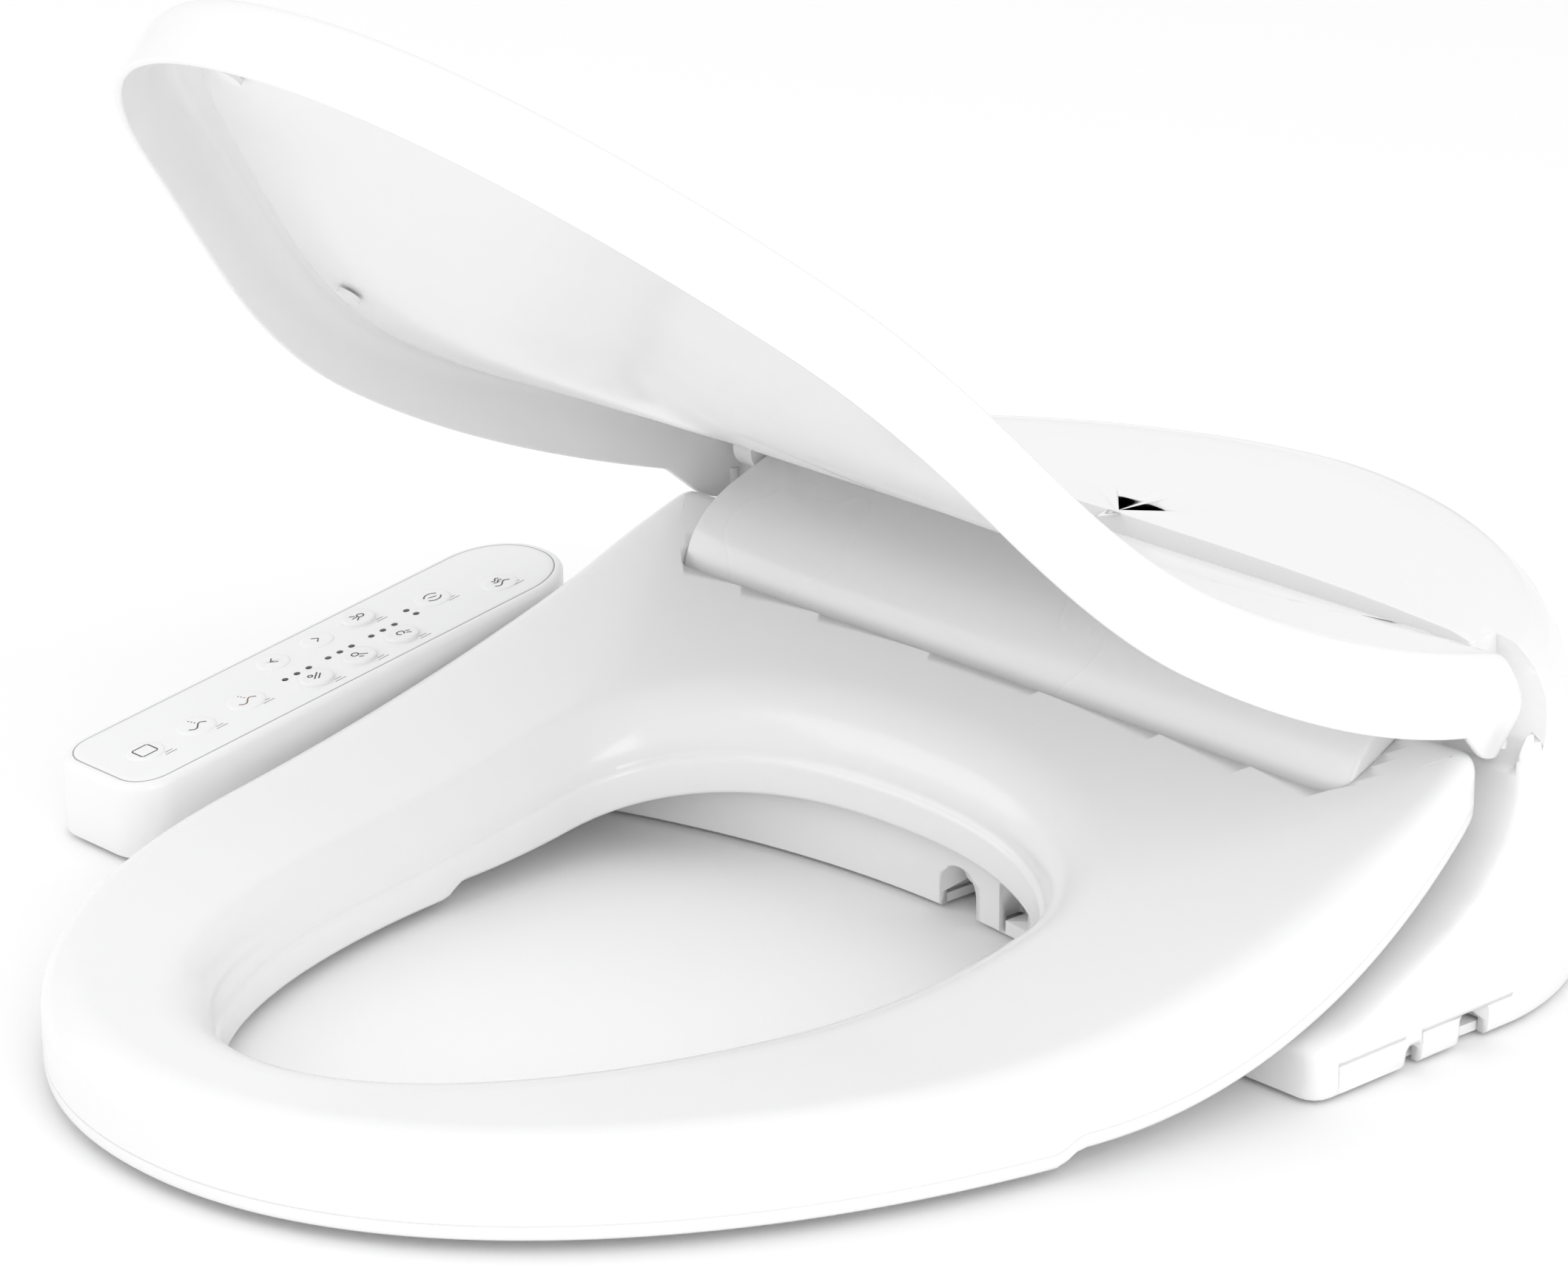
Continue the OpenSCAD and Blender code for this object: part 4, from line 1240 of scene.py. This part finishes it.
        def circle(cx: float, cy: float, r: float, start: float = 0, end: float = 360) -> Line:
            """A circle or a part of one."""
            return [(cx + r * math.cos(math.radians(mix(start, end, i / 20))),
                     cy + r * math.sin(math.radians(mix(start, end, i / 20)))) for i in range(21)]

        def dots(rows: Sequence[tuple[float, float]]) -> list[Line]:
            """Short dashes at the given places."""
            return [[(cx - 0.22, cy), (cx + 0.22, cy)] for cx, cy in rows]

        warm, ink = Look.INK_WARM, Look.INK
        square = [(-3.2, -2.6), (-3.2, 2.6), (-2.6, 3.2), (2.6, 3.2), (3.2, 2.6), (3.2, -2.6), (2.6, -3.2),
                  (-2.6, -3.2), (-3.2, -2.6)]
        spots = dots(((-1.6, 0.6), (-2.9, 0.3), (-4.2, 0.0)))
        parts: dict[Icon, tuple[list[Line], Look]] = {
            Icon.SQUARE: ([square], ink),
            Icon.WAVE_DOTS: ([wave(3.6, 1.4, shift=1.0)] + spots, ink),
            Icon.WAVE_WARM: ([wave(3.6, 1.4, shift=1.0)] + spots, warm),
            Icon.BACK: ([[(-1.9, 0.9), (0, -0.9), (1.9, 0.9)]], ink),
            Icon.FORWARD: ([[(-1.9, -0.9), (0, 0.9), (1.9, -0.9)]], ink),
            Icon.SPRAY: ([circle(0.2, 0.9, 1.2), [(-0.8, -0.6), (-2.0, -2.2)], [(0.3, -0.8), (0.3, -2.6)],
                          [(1.3, -0.5), (2.5, -2.0)]], ink),
            Icon.DROPS: ([[(-1.8, 1.8), (1.4, -1.6)], [(-0.4, 2.2), (2.2, -0.5)],
                          circle(-1.4, -1.3, 0.8)], ink),
            Icon.WARM_DROP: ([circle(-0.9, -0.9, 1.2), [(0.2, 0.3), (2.2, 2.2)],
                              [(1.4, -0.9), (2.6, 0.2)]], ink),
            Icon.WARM_SEAT: ([circle(0, -0.3, 1.3, 20, 340), [(1.4, 1.2), (2.6, 2.4)],
                              [(0.1, 1.8), (0.9, 3.0)]], ink),
            Icon.LEAF: ([circle(0, 0, 2.9, 115, 245), circle(0, 0, 2.9, 295, 425),
                         [(-0.4, -1.4), (0.4, 1.4)]], ink),
            Icon.AIR: ([wave(3.2, 1.0, shift=1.8), wave(1.6, 0.7, 1.0, -0.6),
                        wave(1.6, 0.7, 1.0, -2.2)], ink),
        }
        lines, look = parts[key.icon]
        return [(self.stroke(key.x, key.y, line, up), look) for line in lines]

    def cap(self, key: Key) -> bpy.types.Object:
        """A key's cap: a raised round button, or a low bubble in the film.

        Args:
            key: the key.

        Returns:
            The cap as an object.
        """
        r = key.radius
        if key.raised:
            look = Look.KEY
            profile = [(r + 0.9, -3.2), (r + 0.9, -2.6), (r, -2.6), (r, 0.9), (r - 0.12, 1.2),
                       (r - 0.45, 1.37), (r - 1.2, 1.4), (r * 0.5, 1.38), (0.5, 1.36)]
        else:
            look = Look.FILM
            profile = [(r, -0.3), (r, 0.2), (r - 0.3, 0.42), (r - 0.9, 0.54), (r - 2.2, 0.58), (0.5, 0.58)]
        return self.disc(key.x, key.y, profile).finish(f"{key.name}_cap", look, 60)

    def signs(self, key: Key) -> None:
        """Prints a key's sign.

        Args:
            key: the key.
        """
        up = 1.42 if key.raised else 0.62
        ink = Skin()
        for part, look in self.sign(key, up):
            ink.join(part)
        place(ink.finish(f"{key.name}_sign", look), key.name, Slot.KEY if key.raised else Slot.KEY_FLAT)

    def labels(self) -> None:
        """Short plain bars beside the keys."""
        bars = Skin()
        for key in self.keys:
            if key.label:
                for shift, half in ((0.0, 2.2), (1.5, 1.4)):
                    line = [(key.label * 0.86 - shift, -half), (key.label * 0.86 - shift, half)]
                    bars.join(self.stroke(key.x, key.y + key.label * 0.55, line, 0.17, 0.2))
        place(bars.finish("panel_label_bars", Look.INK_GREY), Body.HOUSING.value, Slot.OVERLAY)

    def build(self) -> None:
        """Makes the arm, its film, the keys and the lights."""
        place(self.casing(), Body.HOUSING.value, Slot.SHELL, "panel_casing")
        place(self.border_line(), Body.HOUSING.value, Slot.OVERLAY)
        place(self.film(), Body.HOUSING.value, Slot.OVERLAY, "panel_overlay")
        for key in self.keys:
            slot = Slot.KEY if key.raised else Slot.KEY_FLAT
            place(self.cap(key), key.name, slot, key.name)
            self.signs(key)
        self.labels()
        lights = Skin()
        spots = [(self.light_x, mid + self.light_step * k) for mid in self.light_rows for k in (-1, 0, 1)]
        spots += self.lone_lights
        for x, y in spots:
            lights.join(self.disc(x, y, [(1.15, -0.3), (1.15, 0.2), (1.0, 0.28), (0.3, 0.3)], 24))
        place(lights.finish("panel_light_dots", Look.LENS), Body.HOUSING.value, Slot.LIGHT, "panel_lights")


# ---------------------------------------------------------------- the frame's own nodes


class FrameParts:
    """Gives every shown node of the frame one plain white finish."""

    def build(self) -> None:
        """Assigns the housing's finish."""
        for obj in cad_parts.values():
            obj.data.materials.clear()
            obj.data.materials.append(Look.HOUSING.value.build())


# ---------------------------------------------------------------- stage


@dataclass
class Studio:
    """Pale floor, soft light and the camera."""

    camera_at: tuple[float, float, float] = (1.1507, -1.2828, 0.6583)
    back: tuple[float, float, float] = (0.6811, -0.6409, 0.3541)
    right: tuple[float, float, float] = (0.6853, 0.7283, 0.0)
    up: tuple[float, float, float] = (-0.2579, 0.2427, 0.9353)
    aim_right: float = -0.01312
    aim_up: float = 0.01898
    lens: float = 124.9
    sky: float = 0.92
    lamp_size: float = 2.4
    key_at: tuple[float, float, float] = (2.6, -1.2, 1.5)
    key_power: float = 34.0
    left_at: tuple[float, float, float] = (-2.4, -2.2, 1.6)
    left_power: float = 20.0
    target: tuple[float, float, float] = (0, -0.2, 0.08)

    def floor(self) -> None:
        """A large pale floor under the part."""
        skin = Skin()
        bmesh.ops.create_grid(skin.bm, x_segments=1, y_segments=1, size=9000)
        bmesh.ops.translate(skin.bm, vec=(0, 0, -0.05), verts=skin.bm.verts)
        floor = skin.finish("floor", Look.HOUSING)
        material = Finish("floor_white", (0.96, 0.96, 0.96), (0.955, 0.955, 0.955), 0.7).build()
        floor.data.materials.clear()
        floor.data.materials.append(material)

    def lamp(self, name: str, at: tuple[float, float, float], power: float) -> None:
        """A soft square lamp that looks at the part.

        Args:
            name: its name.
            at: where it stands, in metres.
            power: its power in watts.
        """
        data = bpy.data.lights.new(name, "AREA")
        data.size = self.lamp_size
        data.energy = power
        lamp = bpy.data.objects.new(name, data)
        lamp.location = at
        aim = Vector(self.target) - Vector(at)
        lamp.rotation_euler = aim.to_track_quat("-Z", "Y").to_euler()
        bpy.context.scene.collection.objects.link(lamp)

    def world(self) -> None:
        """Even white surroundings."""
        world = bpy.data.worlds.new("studio")
        world.use_nodes = True
        node = world.node_tree.nodes["Background"]
        node.inputs["Color"].default_value = (1, 1, 1, 1)
        node.inputs["Strength"].default_value = self.sky
        bpy.context.scene.world = world

    def camera(self) -> None:
        """The camera and its aim."""
        data = bpy.data.cameras.new("camera")
        data.lens = self.lens
        data.sensor_width = 36
        data.clip_start, data.clip_end = 0.05, 60
        camera = bpy.data.objects.new("camera", data)
        back, right, up = (Vector(v) for v in (self.back, self.right, self.up))
        aim = -back + right * self.aim_right + up * self.aim_up
        z = -aim.normalized()
        x = up.cross(z).normalized()
        y = z.cross(x)
        rotation = Matrix((x, y, z)).transposed()
        camera.matrix_world = Matrix.Translation(Vector(self.camera_at)) @ rotation.to_4x4()
        bpy.context.scene.collection.objects.link(camera)
        bpy.context.scene.camera = camera

    def build(self) -> None:
        """Sets up the whole stage."""
        self.floor()
        self.world()
        self.lamp("key", self.key_at, self.key_power)
        self.lamp("left", self.left_at, self.left_power)
        self.camera()
        scene = bpy.context.scene
        scene.view_settings.view_transform = "Standard"
        scene.view_settings.look = "None"
        scene.view_settings.exposure = 0.0


def main() -> None:
    """Builds every sub-assembly and the stage."""
    logging.basicConfig(level=logging.INFO)
    FrameParts().build()
    for part in (Seat(), Lid(), Housing(), Panel()):
        LOG.info("building %s", type(part).__name__)
        part.build()
    Studio().build()


if __name__ == "__main__":
    main()
